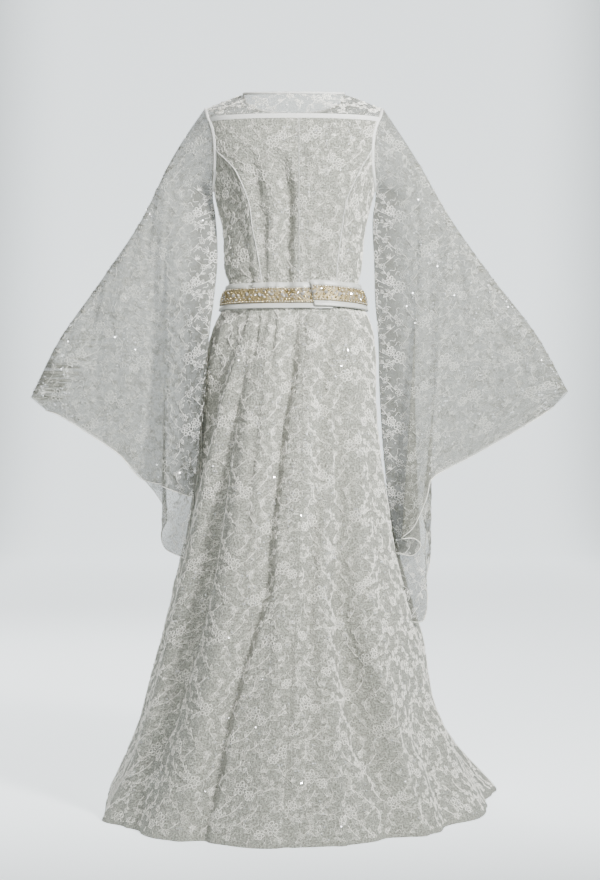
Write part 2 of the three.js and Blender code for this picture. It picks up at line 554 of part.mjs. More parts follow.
function sleeveHalf({ side, onBack, crest, inner, hem, columns = 18 }) {
  const outward = onBack ? -1 : 1;
  const end = hem[0].z;
  const column = (along, down) => {
    const top = tablePoint(crest, along).add(vector(0, outward * (SEAM_GAP / 2), 0));
    const foot = tablePoint(hem, along);
    const round = mix(SLEEVE_ROUND, CUFF_ROUND, along);
    const shoulder = top.clone().add(vector(0, outward * round * 1.1, 0));
    const hang = top.clone().lerp(foot, 0.3).setY(outward * round * 1.25 + top.y);
    const sink = SLEEVE_FOLDS.reduce((sum, fold) => sum + fold.depth * hump((along - fold.along) / fold.halfWidth), 0);
    const [a, b, c, d] = [(1 - down) ** 3, 3 * down * (1 - down) ** 2, 3 * down ** 2 * (1 - down), down ** 3];
    const curve = vector(0, 0, 0).addScaledVector(top, a).addScaledVector(shoulder, b).addScaledVector(hang, c);
    return curve.addScaledVector(foot, d).add(vector(0, -outward * sink * Math.sin(Math.PI * down), 0));
  };
  const pointAt = (u, v) => {
    const along = side * outward > 0 ? 1 - u : u;
    const down = 1 - v;
    const join = 1 - smooth(along / 0.22);
    const hung = column(along, down);
    return join > 0 ? hung.lerp(sleeveInner(side, onBack, inner, end, down), join) : hung;
  };
  const normalAt = (u, v) => {
    const along = side * outward > 0 ? 1 - u : u;
    const own = gridNormal(pointAt, u, v);
    const seam = vector(0, outward, 0);
    const crestNormal = vector(side * 0.85 * smooth(along / 0.06), 0, 0.52).normalize();
    const atSeam = (1 - smooth(along / 0.05)) * smooth((1 - v) / (0.9 * ARMHOLE_ROWS / SLEEVE_ROWS));
    const atCrest = smooth((v - 0.93) / 0.07);
    return own.lerp(seam, atSeam).lerp(crestNormal, atCrest).normalize();
  };
  return wall(columns, SLEEVE_ROWS, pointAt, SHEER_WALL, normalAt);
}

// Belt. It starts with its outer end at the lap, goes round, and its inner end tucks under the outer one.
const BELT_COLUMNS = 40;
const BELT_STEP = 359.5 / BELT_COLUMNS;
const LAP_START = THREE.MathUtils.radToDeg(angleAtX(BELT.lapX, (BELT.top + BELT.bottom) / 2, true));

function beltStrip(columns, low, high, off, thickness) {
  const turnDegrees = columns * BELT_STEP;
  const place = (u, v, out) => {
    const degrees = u * turnDegrees;
    const over = 1 - smooth(degrees / BELT.lapFade);
    const angle = radians(LAP_START + degrees);
    const share = (mix(low, high, v) - BELT.bottom) / (BELT.top - BELT.bottom);
    const base = shell(angle, BELT.bottom).lerp(shell(angle, BELT.top), share);
    const normal = shellNormal(angle, WAIST);
    base.addScaledVector(normal, out + over * (BELT.band + 0.7));
    return base.add(vector(0, 0, over * BELT.lapRise));
  };
  const normalAt = (u, v) => place(u, v, off + thickness).sub(place(u, v, off)).normalize();
  return wall(columns, 1, (u, v) => place(u, v, off + thickness), thickness, normalAt);
}

// The dress
const dress = new THREE.Group();

function add(name, geometry, material) {
  const mesh = new THREE.Mesh(geometry, material);
  mesh.name = name;
  dress.add(mesh);
}

add('yoke_back', yoke(true), MATERIALS.sheer);
add('yoke_front', yoke(false), MATERIALS.sheer);
add('lining_edge_back', liningEdge(true), MATERIALS.seam);
add('lining_edge_front', liningEdge(false), MATERIALS.seam);
add('neck_binding', neckBinding(), MATERIALS.seam);
add('bodice_front', bodiceFront(), MATERIALS.lined);
[[-1, 'left'], [1, 'right']].forEach(([side, word]) => {
  add(`bodice_back_${word}`, bodiceBack(side), MATERIALS.lined);
  add(`bodice_side_back_${word}`, bodiceSide(side, true), MATERIALS.lined);
  add(`bodice_side_front_${word}`, bodiceSide(side, false), MATERIALS.lined);
  add(`armhole_cord_${word}`, armholeCord(side), MATERIALS.seam);
});

const seam = GORE_SEAMS;
[
  ['skirt_back_left', 13, seam.backLeft, seam.centreBack],
  ['skirt_back_right', 13, seam.centreBack, seam.backRight],
  ['skirt_side_left', 11, seam.left, seam.backLeft],
  ['skirt_side_right', 11, seam.backRight, seam.right],
  ['skirt_side_front_right', 11, seam.right, seam.frontRight],
  ['skirt_side_front_left', 11, seam.frontLeft, seam.left],
  ['skirt_front', 12, seam.frontRight, past(seam.frontLeft)],
].forEach(([name, columns, from, to]) => add(name, gore(columns, from, to), MATERIALS.lined));

[
  ['sleeve_left_back', { side: -1, onBack: true, crest: LEFT_CREST, inner: LEFT_INNER, hem: LEFT_BACK_HEM }],
  ['sleeve_left_front', { side: -1, onBack: false, crest: LEFT_CREST, inner: LEFT_INNER, hem: LEFT_FRONT_HEM }],
  ['sleeve_right_back', { side: 1, onBack: true, crest: RIGHT_CREST, inner: RIGHT_INNER, hem: RIGHT_BACK_HEM }],
  ['sleeve_right_front', { side: 1, onBack: false, crest: RIGHT_CREST, inner: RIGHT_INNER, hem: RIGHT_FRONT_HEM }],
].forEach(([name, sleeve]) => add(name, sleeveHalf(sleeve), MATERIALS.sheer));

const beltOut = BELT.clear + BELT.band + 2 * SEAM_GAP;
const trimTop = BELT.top - BELT.topBorder - BELT.reveal;
const trimBottom = BELT.bottom + BELT.bottomBorder + BELT.reveal;
[
  ['belt_band', BELT_COLUMNS + 2, BELT.bottom, BELT.top, BELT.clear, BELT.band, MATERIALS.satin],
  ['belt_edge_top', BELT_COLUMNS, BELT.top - BELT.topBorder, BELT.top, beltOut, BELT.border, MATERIALS.satin],
  ['belt_edge_bottom', BELT_COLUMNS, BELT.bottom, BELT.bottom + BELT.bottomBorder, beltOut, BELT.border, MATERIALS.satin],
  ['belt_beaded_strip', BELT_COLUMNS, trimBottom, trimTop, beltOut, BELT.trim, MATERIALS.beads],
].forEach(([name, columns, low, high, off, thickness, material]) =>
  add(name, beltStrip(columns, low, high, off, thickness), material));

export default dress;
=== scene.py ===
# %% [markdown]
# # A lace elf dress
# The real dress is cut from flat cloth: white corded lace laid over a plain lining for bodice and skirt,
# and the same lace alone for yoke and sleeves. Here it is made the same way. Each panel gets its worn form
# first, then a flat pattern of lace, drawn once, is wrapped on it, and seams, belt, beads and sequins
# follow.
#
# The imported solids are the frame. A piece that is finer than its solid replaces it and stays in its place.

# %% The frame
import bpy, bmesh, math, random
import numpy as np
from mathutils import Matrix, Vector
from mathutils.bvhtree import BVHTree


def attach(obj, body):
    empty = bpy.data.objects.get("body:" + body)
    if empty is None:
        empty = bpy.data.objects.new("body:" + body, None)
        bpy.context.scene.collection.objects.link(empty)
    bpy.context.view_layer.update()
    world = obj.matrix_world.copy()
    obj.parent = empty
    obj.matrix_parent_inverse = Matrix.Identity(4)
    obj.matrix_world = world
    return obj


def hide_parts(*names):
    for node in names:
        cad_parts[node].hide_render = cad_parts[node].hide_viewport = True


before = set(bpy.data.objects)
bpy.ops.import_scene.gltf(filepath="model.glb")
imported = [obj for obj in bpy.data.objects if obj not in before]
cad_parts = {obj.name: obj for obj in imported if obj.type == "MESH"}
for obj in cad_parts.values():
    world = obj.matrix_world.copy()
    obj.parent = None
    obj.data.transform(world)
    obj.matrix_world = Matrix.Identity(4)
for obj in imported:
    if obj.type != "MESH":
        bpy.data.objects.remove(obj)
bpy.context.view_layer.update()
MM = 0.001

# %% [markdown]
# ## Camera
# The dress is seen from behind, from the height of its hips and from far away, so that near and far edges
# of the skirt differ little in scale. A long lens on a level camera keeps the side seams upright.

# %% Camera
eye = bpy.data.cameras.new("eye")
eye.sensor_width = 36
eye.lens = 81.8
camera = bpy.data.objects.new("eye", eye)
camera.location = (0.012, -4.0, -0.66)
camera.rotation_euler = (math.pi / 2, 0, 0)
bpy.context.scene.collection.objects.link(camera)
bpy.context.scene.camera = camera
print("lens", eye.lens, "mm, 4 m behind the dress")

# %% [markdown]
# ## Stage
# A studio uses one roll of pale paper for floor and background, swept up in a curve so that no line shows.
# A grid is bent the same way. It isn't part of the dress.

# %% Stage
FLOOR = -1374                       # millimetres under the shoulders


def hex_colour(code):
    """A colour as it is picked on a screen, turned into the linear light that shaders use."""
    parts = [int(code[i:i + 2], 16) / 255 for i in (0, 2, 4)]
    return [c / 12.92 if c <= 0.04045 else ((c + 0.055) / 1.055) ** 2.4 for c in parts] + [1]


def add_node(tree, kind, settings=(), **links):
    """A new node with its settings, and its sockets set to a value or joined to another node's output."""
    made = tree.nodes.new(kind)
    for name, value in dict(settings).items():
        setattr(made, name, value)
    for name, value in links.items():
        socket = made.inputs[int(name[1:]) if name[1:].isdigit() else name.replace("_", " ")]
        if isinstance(value, bpy.types.NodeSocket):
            tree.links.new(value, socket)
        else:
            socket.default_value = value
    return made


def new_material(name, **shader):
    """A material with a Principled shader whose constant values are set on its own sockets."""
    material = bpy.data.materials.new(name)
    material.use_nodes = True
    principled = material.node_tree.nodes["Principled BSDF"]
    for key, value in shader.items():
        principled.inputs[key.replace("_", " ")].default_value = value
    return material, material.node_tree, principled


# Uncoated roll paper: pulp pressed smooth but not glazed, so it shows no highlight at all.
paper, paper_tree, paper_shader = new_material(
    "studio_paper", Base_Color=hex_colour("d4dadc"), Roughness=0.95, Emission_Color=hex_colour("f1f8fb"))
place = add_node(paper_tree, "ShaderNodeTexCoord")
split = add_node(paper_tree, "ShaderNodeSeparateXYZ", Vector=place.outputs["Object"])
# Lamps behind the dress light the far paper evenly, which is drawn as a glow that grows from front to back
# and ends a little beyond the dress on either side, so that it doesn't light the dress's flanks.
glow = add_node(paper_tree, "ShaderNodeMapRange", {"interpolation_type": "SMOOTHSTEP"},
                Value=split.outputs["Y"], From_Min=-1.7, From_Max=0.1, To_Min=0.0, To_Max=1.85)
aside = add_node(paper_tree, "ShaderNodeMath", {"operation": "ABSOLUTE"}, _0=split.outputs["X"])
flank = add_node(paper_tree, "ShaderNodeMapRange", {"interpolation_type": "SMOOTHSTEP"},
                 Value=aside.outputs[0], From_Min=1.5, From_Max=2.6, To_Min=1.0, To_Max=0.12)
glow = add_node(paper_tree, "ShaderNodeMath", {"operation": "MULTIPLY"}, _0=glow.outputs["Result"],
                _1=flank.outputs["Result"])
paper_tree.links.new(glow.outputs[0], paper_shader.inputs["Emission Strength"])

# The roll in metres: where it starts, its length, where it starts to bend, the bend's length and radius.
PAPER = {"start": -9, "length": 24, "flat_to": 8.0, "bend": 2.4, "radius": 1.53, "half_width": 9}
sweep = bmesh.new()
bmesh.ops.create_grid(sweep, x_segments=2, y_segments=64, size=1)
for vert in sweep.verts:
    along = (vert.co.y + 1) / 2 * PAPER["length"] + PAPER["start"]
    bend = min(max((along - PAPER["flat_to"]) / PAPER["bend"], 0), 1) * math.pi / 2
    flat = min(along, PAPER["flat_to"])
    rise = max(along - PAPER["flat_to"] - PAPER["bend"], 0)
    vert.co = (vert.co.x * PAPER["half_width"], flat + PAPER["radius"] * math.sin(bend),
               FLOOR * MM + PAPER["radius"] * (1 - math.cos(bend)) + rise)
sweep_mesh = bpy.data.meshes.new("studio_sweep")
sweep.to_mesh(sweep_mesh)
sweep.free()
stage = bpy.data.objects.new("studio_sweep", sweep_mesh)
bpy.context.scene.collection.objects.link(stage)
sweep_mesh.materials.append(paper)
for face in sweep_mesh.polygons:
    face.use_smooth = True
print("paper:", PAPER["length"], "m long, bent up", PAPER["flat_to"], "m beyond the dress")

# %% [markdown]
# ## Light
# One soft lamp stands near, to the right and well above, with a grid, so folds have a shaded side and light
# fades to the hem. A weak one fills from the camera, a third reaches the dress's front, and a pale sky
# fills the rest.

# %% Light


def soft_lamp(name, place, target, width, height, watts, beam=180):
    """A softbox aimed at a target. A grid on its front narrows the beam, given in degrees."""
    lamp = bpy.data.lights.new(name, "AREA")
    lamp.spread = math.radians(beam)
    lamp.shape, lamp.size, lamp.size_y, lamp.energy = "RECTANGLE", width, height, watts
    holder = bpy.data.objects.new(name, lamp)
    holder.location = place
    holder.rotation_euler = (Vector(target) - Vector(place)).to_track_quat("-Z", "Y").to_euler()
    bpy.context.scene.collection.objects.link(holder)
    return holder


soft_lamp("key_softbox", place=(1.6, -1.75, 1.0), target=(-0.05, 0, -0.35), width=0.4, height=0.6, watts=40,
          beam=80)
soft_lamp("fill_softbox", place=(-0.8, -3.5, 0.5), target=(-0.05, 0, -0.6), width=1.0, height=1.0, watts=8.5,
          beam=60)
soft_lamp("front_softbox", place=(-1.1, 3.0, 1.2), target=(0, 0, -0.7), width=1.2, height=1.6, watts=90)
sky = bpy.data.worlds.new("pale_room")
sky.use_nodes = True
sky.node_tree.nodes["Background"].inputs["Color"].default_value = hex_colour("ecebe2")
sky.node_tree.nodes["Background"].inputs["Strength"].default_value = 0.14
bpy.context.scene.world = sky
print("lamps: key from the right, fill from the camera, one for the front")

# %% [markdown]
# ## The form of bodice and skirt
# A pattern maker describes a figure by its girth at a few heights. The same table gives this form:
# half-widths and depths, joined by a smooth curve, each section a rounded oval. Folds of the skirt are a
# second table: the angle of each trough or ridge from the centre back, and its depth, at belt, hip, knee
# and hem.

# %% Sections
#            z     left right back front, in millimetres from the shoulder line's middle
SECTIONS = np.array([
    (-20, 180, 180, 84, 86), (-88, 175, 175, 93, 106), (-164, 160, 160, 92, 122), (-230, 145, 144, 86, 110),
    (-264, 141, 139, 83, 101), (-322, 138, 134, 81, 92), (-341, 131, 129, 81, 90), (-353, 130, 128, 82, 90),
    (-378, 136, 135, 90, 96), (-404, 145, 143, 101, 105), (-440, 163, 158, 122, 121),
    (-500, 180, 167, 142, 134), (-570, 190, 168, 162, 144), (-640, 197, 171, 184, 154),
    (-700, 202, 177, 202, 163), (-780, 210, 188, 228, 176), (-860, 218, 198, 255, 192),
    (-940, 236, 214, 286, 210), (-1000, 247, 230, 309, 225), (-1060, 262, 250, 336, 241),
    (-1144, 286, 269, 378, 264), (-1228, 310, 296, 424, 288), (-1300, 342, 328, 462, 310),
    (-1344, 364, 353, 488, 326), (FLOOR, 380, 368, 508, 338)], float)
LEFT, RIGHT, BACK, FRONT = 1, 2, 3, 4
ROUNDNESS = 2.3                     # 2 is an ellipse, more is squarer
WAIST, UNDERARM, YOKE_BOTTOM = -378, -164, -20
BELT_TOP, BELT_BOTTOM = -353, -404


def smooth(share):
    """An even step from 0 to 1."""
    share = np.clip(share, 0, 1)
    return share ** 2 * (3 - 2 * share)


def hump(share):
    """A soft bump, 1 in the middle and 0 from one width away."""
    return np.where(np.abs(share) < 1, (1 + np.cos(np.pi * np.clip(share, -1, 1))) / 2, 0)


def along_curve(places, values, at):
    """Values on a smooth curve through a table's rows."""
    places, values, at = (np.asarray(x, float) for x in (places, values, at))
    if places[0] > places[-1]:
        places, at = -places, -at
    row = np.clip(np.searchsorted(places, at) - 1, 0, len(places) - 2)
    before, after = np.maximum(row - 1, 0), np.minimum(row + 2, len(places) - 1)
    width = places[row + 1] - places[row]
    share = np.clip((at - places[row]) / width, 0, 1)
    start = (values[row + 1] - values[before]) / (places[row + 1] - places[before]) * width
    end = (values[after] - values[row]) / (places[after] - places[row]) * width
    two, three = share ** 2, share ** 3
    return ((2 * three - 3 * two + 1) * values[row] + (three - 2 * two + share) * start
            + (3 * two - 2 * three) * values[row + 1] + (three - two) * end)


def girth(column, z):
    """The half-width or the depth of the form at a height, from one column of the table."""
    return along_curve(SECTIONS[:, 0], SECTIONS[:, column], z)


def apart(a, b):
    """The turn from b to a in degrees, between -180 and 180."""
    return (a - b + 180) % 360 - 180


# %% Folds of the skirt
FOLD_LEVELS = (BELT_BOTTOM, -640, -1000, FLOOR)
# angles at the four levels, depths at the four levels (a ridge's is negative), half-width in degrees
FOLDS = [
    ((-82, -88, -90, -86), (0, 10, 24, 8), 15),
    ((-48, -58, -66, -70), (3, 12, 8, 4), 8),
    ((-40, -50, -58, -50), (-2, -8, -16, -17), 9),
    ((-31, -39, -41, -42), (4, 9, 17, 20), 7),
    ((-14, -22, -25, -30), (-2, -5, -8, -10), 9),
    ((6, -5, -12, -19), (4, 8, 14, 24), 8),
    ((16, 6, -2, -7), (-2, -6, -8, -10), 8),
    ((30, 18, 7, 4), (3, 9, 12, 14), 8),
    ((42, 33, 22, 22), (3, 9, 26, 34), 9),
    ((50, 41, 31, 29), (-1, -6, -12, -14), 6),
    ((60, 50, 38, 34), (0, 4, 8, 16), 6),
    ((72, 68, 63, 66), (0, -3, -8, -14), 11),
    ((84, 88, 89, 88), (0, 10, 26, 4), 14),
    ((116, 116, 107, 132), (0, -4, -28, -8), 12),
    ((140, 138, 136, 146), (2, 9, 18, 22), 9),
    ((158, 158, 160, 162), (-1, -5, -12, -14), 10),
    ((176, 176, 178, 178), (2, 8, 16, 20), 9),
    ((-162, -160, -158, -158), (-1, -6, -12, -14), 10),
    ((-142, -140, -138, -138), (2, 9, 18, 22), 9),
    ((-116, -114, -107, -112), (0, -5, -26, -14), 12)]
# The hem's corner that lies spread on the floor; its depth grows a little faster than its height falls.
SPREAD = {"angle": 112, "from": -1210, "depth": -64, "half_width": 20, "growth": 1.2}
# Creases of the flanks and the front: angle and height where each starts and ends, its depth, and its
# half-width in degrees.
CREASES = [
    (-56, -406, -62, -530, 2.6, 2.2), (-70, -410, -76, -560, 2.4, 2.6), (-58, -1000, -60, -1374, 5.0, 2.2),
    (61, -410, 56, -560, 2.4, 2.4), (79, -1220, 76, -1374, -7.0, 3.0), (98, -900, 96, -1374, 4.0, 2.0),
    (124, -640, 122, -1374, 5.0, 2.4), (130, -404, 128, -620, 3.0, 2.4), (147, -404, 146, -560, 3.4, 2.2),
    (166, -404, 167, -640, 3.2, 2.4), (171, -900, 169, -1374, 4.6, 1.8), (-176, -404, -174, -540, 2.8, 2.0),
    (-152, -404, -150, -620, 3.6, 2.4), (-149, -860, -147, -1374, 4.4, 2.0),
    (-134, -404, -133, -580, 2.8, 2.2), (-128, -740, -125, -1374, 4.2, 2.2),
    (-101, -960, -100, -1374, 4.4, 2.0), (110, -404, 108, -560, 2.6, 2.4),
    (-100, -404, -102, -540, 2.4, 2.4)]
# Folds of the skirt's back: points of each from top to foot, its depth at them, and its half-width, in
# millimetres. Each has a steep right wall and an easy left one. The first seven are long, and those at the
# end are gathers.
SKIRT_FOLDS = [
    ([(-112, -404), (-124, -484), (-150, -557), (-176, -666), (-196, -741), (-212, -820)],
      (3, 8, 12, 12, 8, 0), 15),
    ([(-88, -404), (-101, -514), (-113, -583), (-130, -675), (-141, -758), (-153, -841), (-161, -907),
      (-178, -987), (-194, -1051), (-214, -1114), (-228, -1168), (-252, -1216), (-271, -1255),
      (-285, -1295), (-292, -1374)], (3, 6, 7, 8, 10, 13, 16, 17, 17, 16, 14, 12, 10, 9, 8), 12),
    ([(4, -404), (2, -482), (-7, -558), (-20, -608), (-28, -683), (-36, -756), (-46, -838), (-50, -933),
      (-72, -996), (-95, -1065), (-109, -1116), (-123, -1160), (-135, -1219), (-144, -1269), (-161, -1332),
      (-168, -1374)], (5, 11, 14, 14, 14, 13, 13, 14, 17, 19, 20, 20, 19, 18, 16, 13), 12),
    ([(82, -404), (72, -500), (63, -558), (58, -666), (57, -741), (45, -805), (37, -916), (29, -980),
      (36, -1071), (39, -1190), (35, -1260), (34, -1340)], (3, 10, 15, 16, 15, 15, 16, 15, 13, 11, 8, 0),
      14),
    ([(98, -500), (95, -583), (94, -724), (98, -853), (99, -949), (105, -1042), (117, -1116), (130, -1190),
      (148, -1248), (174, -1290), (190, -1374)], (0, 11, 16, 22, 28, 36, 42, 40, 32, 24, 18), (38, 64)),
    ([(133, -620), (130, -766), (128, -963), (143, -1042), (177, -1138), (207, -1260), (246, -1374)],
      (-1, -8, -10, -11, -12, -12, -6), 9),
    ([(216, -1000), (232, -1114), (248, -1209), (284, -1301), (306, -1374)], (0, 12, 26, 32, 28), (34, 40)),
    ([(84, -560), (83, -660), (86, -780), (90, -900)], (0, -4.5, -4.5, 0), 3.5),
    ([(110, -570), (111, -680), (114, -800), (119, -930)], (0, -5, -5, 0), 3.5),
    ([(-60, -500), (-70, -640), (-86, -800), (-96, -960)], (0, 5, 5, 0), 8),
    ([(-30, -760), (-24, -900), (-30, -1080), (-44, -1200)], (0, -4, -5, 0), 9),
    ([(4, -800), (0, -960), (-6, -1120), (-12, -1374)], (0, 5, 7, 6), 8),
    ([(-206, -860), (-232, -1000), (-262, -1140), (-300, -1260), (-324, -1374)], (0, 6, 8, 9, 8), 9),
    ([(-112, -940), (-136, -1060), (-166, -1190), (-204, -1374)], (0, -6, -8, -7), 9),
    ([(70, -1020), (76, -1140), (84, -1260), (92, -1374)], (0, -6, -9, -8), 9),
    ([(160, -800), (168, -960), (190, -1080)], (0, 6, 0), 8),
    ([(-70, -404), (-76, -470), (-84, -540)], (5, 4, 0), 5),
    ([(-52, -404), (-56, -440), (-60, -476)], (4, 3, 0), 4),
    ([(-36, -404), (-39, -470), (-46, -560)], (5, 4.5, 0), 5),
    ([(-17, -404), (-18, -436), (-20, -462)], (4, 3, 0), 4),
    ([(22, -404), (22, -450), (20, -500)], (4.5, 4, 0), 4.5),
    ([(38, -404), (36, -430), (35, -458)], (4, 3, 0), 4),
    ([(54, -404), (52, -480), (46, -570)], (5, 4, 0), 5),
    ([(100, -404), (100, -440), (98, -480)], (3.5, 3, 0), 5),
    ([(-96, -404), (-104, -450), (-112, -500)], (4, 3, 0), 5),
    ([(114, -404), (120, -470), (128, -560)], (3, 4, 0), 7)]


EASY_WALL, STEEP_WALL = 2.6, 1.35           # a fold's left and right walls, in half-widths


def line_depth(x, z, line, depths, half):
    """The depth of one fold at a place. Its right wall is the steep one, unless both widths are given."""
    heights, places = [-p[1] for p in line], [p[0] for p in line]
    if np.ndim(depths) == 0:
        depths = [depths] * len(line)
    away = x - np.interp(-z, heights, places)
    deep = np.where((-z >= heights[0]) & (-z <= heights[-1]), np.interp(-z, heights, depths), 0)
    left, right = half if isinstance(half, tuple) else (EASY_WALL * half, STEEP_WALL * half)
    return deep * hump(away / np.where(away > 0, right, left))


CREASE_OPENS, CREASE_CLOSES = 0.3, 0.45     # shares of a crease's length
GATHER_DROP = 16                            # how far under the belt the gathers reach their depth


def fold_depth(angle, z, x):
    """How far the skirt sinks in from its oval at an angle, in radians, a height and a place across."""
    degrees = np.degrees(angle)
    depth = np.zeros(np.broadcast(angle, z).shape)
    for angles, depths, half in FOLDS:
        centre = along_curve(FOLD_LEVELS, angles, z)
        depth += along_curve(FOLD_LEVELS, depths, z) * hump(apart(degrees, centre) / (2 * half))
    fallen = np.clip((SPREAD["from"] - z) / (SPREAD["from"] - FLOOR), 0, 1)
    spread = fallen ** SPREAD["growth"] * SPREAD["depth"]
    depth += spread * hump(apart(degrees, SPREAD["angle"]) / (2 * SPREAD["half_width"]))
    for from_angle, top, to_angle, bottom, deep, half in CREASES:
        share = np.clip((top - z) / (top - bottom), 0, 1)
        centre = from_angle + (to_angle - from_angle) * share
        opens = 1 if top > BELT_BOTTOM - GATHER_DROP / 2 else smooth(share / CREASE_OPENS)
        closes = 1 if bottom <= FLOOR else smooth((1 - share) / CREASE_CLOSES)
        depth += deep * opens * closes * hump(apart(degrees, centre) / (2 * half))
    for line, depths, half in SKIRT_FOLDS:
        depth += np.where(np.cos(angle) > 0, line_depth(x, z, line, depths, half), 0)
    return np.where(z < BELT_BOTTOM, depth * smooth((BELT_BOTTOM - z) / GATHER_DROP), 0)


# Soft folds of the bodice: where each runs, its depth at each point and half-width, and whether it is on
# the back.
BODICE_FOLDS = [
    ([(-134, -129), (-118, -188), (-105, -264), (-96, -322), (-89, -353)], (3, 7, 8, 8, 6), 19, True),
    ([(-30, -84), (-20, -120), (-12, -160), (-8, -200), (-12, -280), (-12, -353)], (0, 7, 12, 14, 13, 10),
      13, True),
    ([(-84, -92), (-76, -130), (-74, -180), (-76, -232)], (0, 6, 8, 0), 12, True),
    ([(-62, -150), (-60, -210), (-62, -280), (-58, -353)], (0, 6, 7, 6), 11, True),
    ([(-90, -290), (-86, -353)], (0, 5), 5, True),
    ([(-44, -270), (-38, -353)], (0, 4), 5, True),
    ([(12, -60), (20, -110), (24, -160)], (0, 3.5, 0), 9, True),
    ([(26, -250), (30, -353)], (0, 4), 6, True),
    ([(52, -190), (50, -270), (46, -353)], (0, 4, 3), 8, True),
    ([(78, -120), (70, -190), (68, -250)], (0, 3.5, 0), 9, True),
    ([(112, -200), (106, -270), (100, -353)], (0, 4, 4), 8, True),
    ([(46, -50), (60, -88), (70, -128)], (0, 3, 0), 10, True),
    ([(-46, -262), (-44, -353)], (0, 3), 7, False),
    ([(28, -272), (30, -353)], (0, 3), 7, False),
    ([(88, -208), (84, -270), (80, -353)], (0, 3.4, 2), 10, False),
    ([(-94, -212), (-90, -270), (-84, -353)], (0, 3.4, 2), 10, False)]


BELT_EASE = 14                              # the bodice's folds are pressed flat over this much of the belt


def bodice_depth(x, z, on_back):
    """How far the bodice sinks in from its oval at a place across and a height."""
    depth = np.zeros(np.shape(x))
    for line, depths, half, back in BODICE_FOLDS:
        depth += np.where(on_back == back, line_depth(x, z, line, depths, half), 0)
    return np.where(z < BELT_TOP, depth * smooth((z - BELT_TOP + BELT_EASE) / BELT_EASE), depth)


def shell(angle, z):
    """A point of the dress's outside by its angle from the centre back and its height."""
    side, depth = np.sin(angle), np.cos(angle)
    half = np.where(side < 0, girth(LEFT, z), girth(RIGHT, z))
    reach = np.where(depth > 0, girth(BACK, z), girth(FRONT, z))
    out = (np.abs(side / half) ** ROUNDNESS + np.abs(depth / reach) ** ROUNDNESS) ** (-1 / ROUNDNESS)
    out = out - fold_depth(angle, z, out * side) - bodice_depth(out * side, z, depth > 0)
    return np.stack([out * side, -out * depth, z + 0 * out], -1)


def angle_at(x, z, on_back):
    """The angle from the centre back of a place across, on the form without its folds."""
    half = np.where(x < 0, girth(LEFT, z), girth(RIGHT, z))
    reach = girth(BACK if on_back else FRONT, z)
    y = reach * (1 - np.abs(x / half) ** ROUNDNESS) ** (1 / ROUNDNESS)
    return np.arctan2(x, y if on_back else -y)


# %% [markdown]
# ## Seam lines
# A princess seam curves from the armhole over the back to the waist, so the panel beside it can follow the
# figure. Armhole and seams are written as angles on the same form, and every panel is the cloth between two
# of them.

# %% Seam lines
ARMHOLE = {"depth": 52, "middle": -81, "rise": 83}
NOTCH = {True: -88, False: -96}     # where the princess seam meets the armhole, on the back and the front
CENTRE_BACK = 10
#            z    back left, back right, front
PRINCESS = [
    (-378, -62, 84, 76), (-322, -70, 85, 80), (-264, -79, 92, 86), (-188, -92, 104, 92),
    (-129, -116, 130, 116)]


def armhole_angle(z, on_back):
    """The armhole is an oval seen from the side. This is the angle of its edge at a height."""
    rise = np.clip((z - ARMHOLE["middle"]) / ARMHOLE["rise"], -1, 1)
    y = ARMHOLE["depth"] * np.sqrt(1 - rise ** 2)
    reach = girth(BACK if on_back else FRONT, z)
    x = girth(RIGHT, z) * (1 - (y / reach) ** ROUNDNESS) ** (1 / ROUNDNESS)
    return np.arctan2(x, y if on_back else -y)


def armhole_height(angle, on_back):
    """The height of the armhole's edge at an angle, under the notch."""
    heights = np.linspace(NOTCH[on_back], UNDERARM, 160)
    angles = armhole_angle(heights, on_back)
    return np.interp(angle, angles, heights) if on_back else np.interp(-angle, -angles, heights)


def princess_angle(side, on_back, z):
    """The angle of a princess seam at a height, and of the armhole's edge above the notch."""
    notch = NOTCH[on_back]
    edge = shell(armhole_angle(notch, on_back), notch)[0]
    column = (1 if side < 0 else 2) if on_back else 3
    sign = -1 if column == 1 else 1
    rows = [(row[0], row[column]) for row in PRINCESS] + [(notch, sign * edge)]
    x = along_curve([r[0] for r in rows], [r[1] for r in rows], np.minimum(z, notch))
    seam = angle_at(x if on_back else side * x, np.minimum(z, notch), on_back)
    return np.where(z >= notch, side * armhole_angle(z, on_back), seam)


# %% [markdown]
# ## Panels
# Each panel is a fine grid, moved onto the form. It also keeps its flat pattern: how far each point is
# across and along the cloth, in millimetres. That becomes its UV map, so a weave follows the cloth, and the
# lace is laid by it.

# %% Panels
pieces = {}


def unit(vectors):
    """Vectors of the same direction and a length of 1."""
    return vectors / np.maximum(np.linalg.norm(vectors, axis=-1, keepdims=True), 1e-9)


def grid_normals(points):
    """The outward direction at each point of a grid."""
    return unit(np.cross(np.gradient(points, axis=1), np.gradient(points, axis=0)))


def cloth_lengths(points):
    """Flat sizes of a draped grid: across from its middle column, and up from its lowest row."""
    across = np.linalg.norm(np.diff(points, axis=1), axis=2).cumsum(1)
    across = np.concatenate([np.zeros((len(points), 1)), across], 1)
    up = np.linalg.norm(np.diff(points, axis=0), axis=2).mean(1).cumsum()
    up = np.concatenate([[0], up])[:, None]
    return np.stack([across - across[:, -1:] / 2, up + 0 * across], -1)


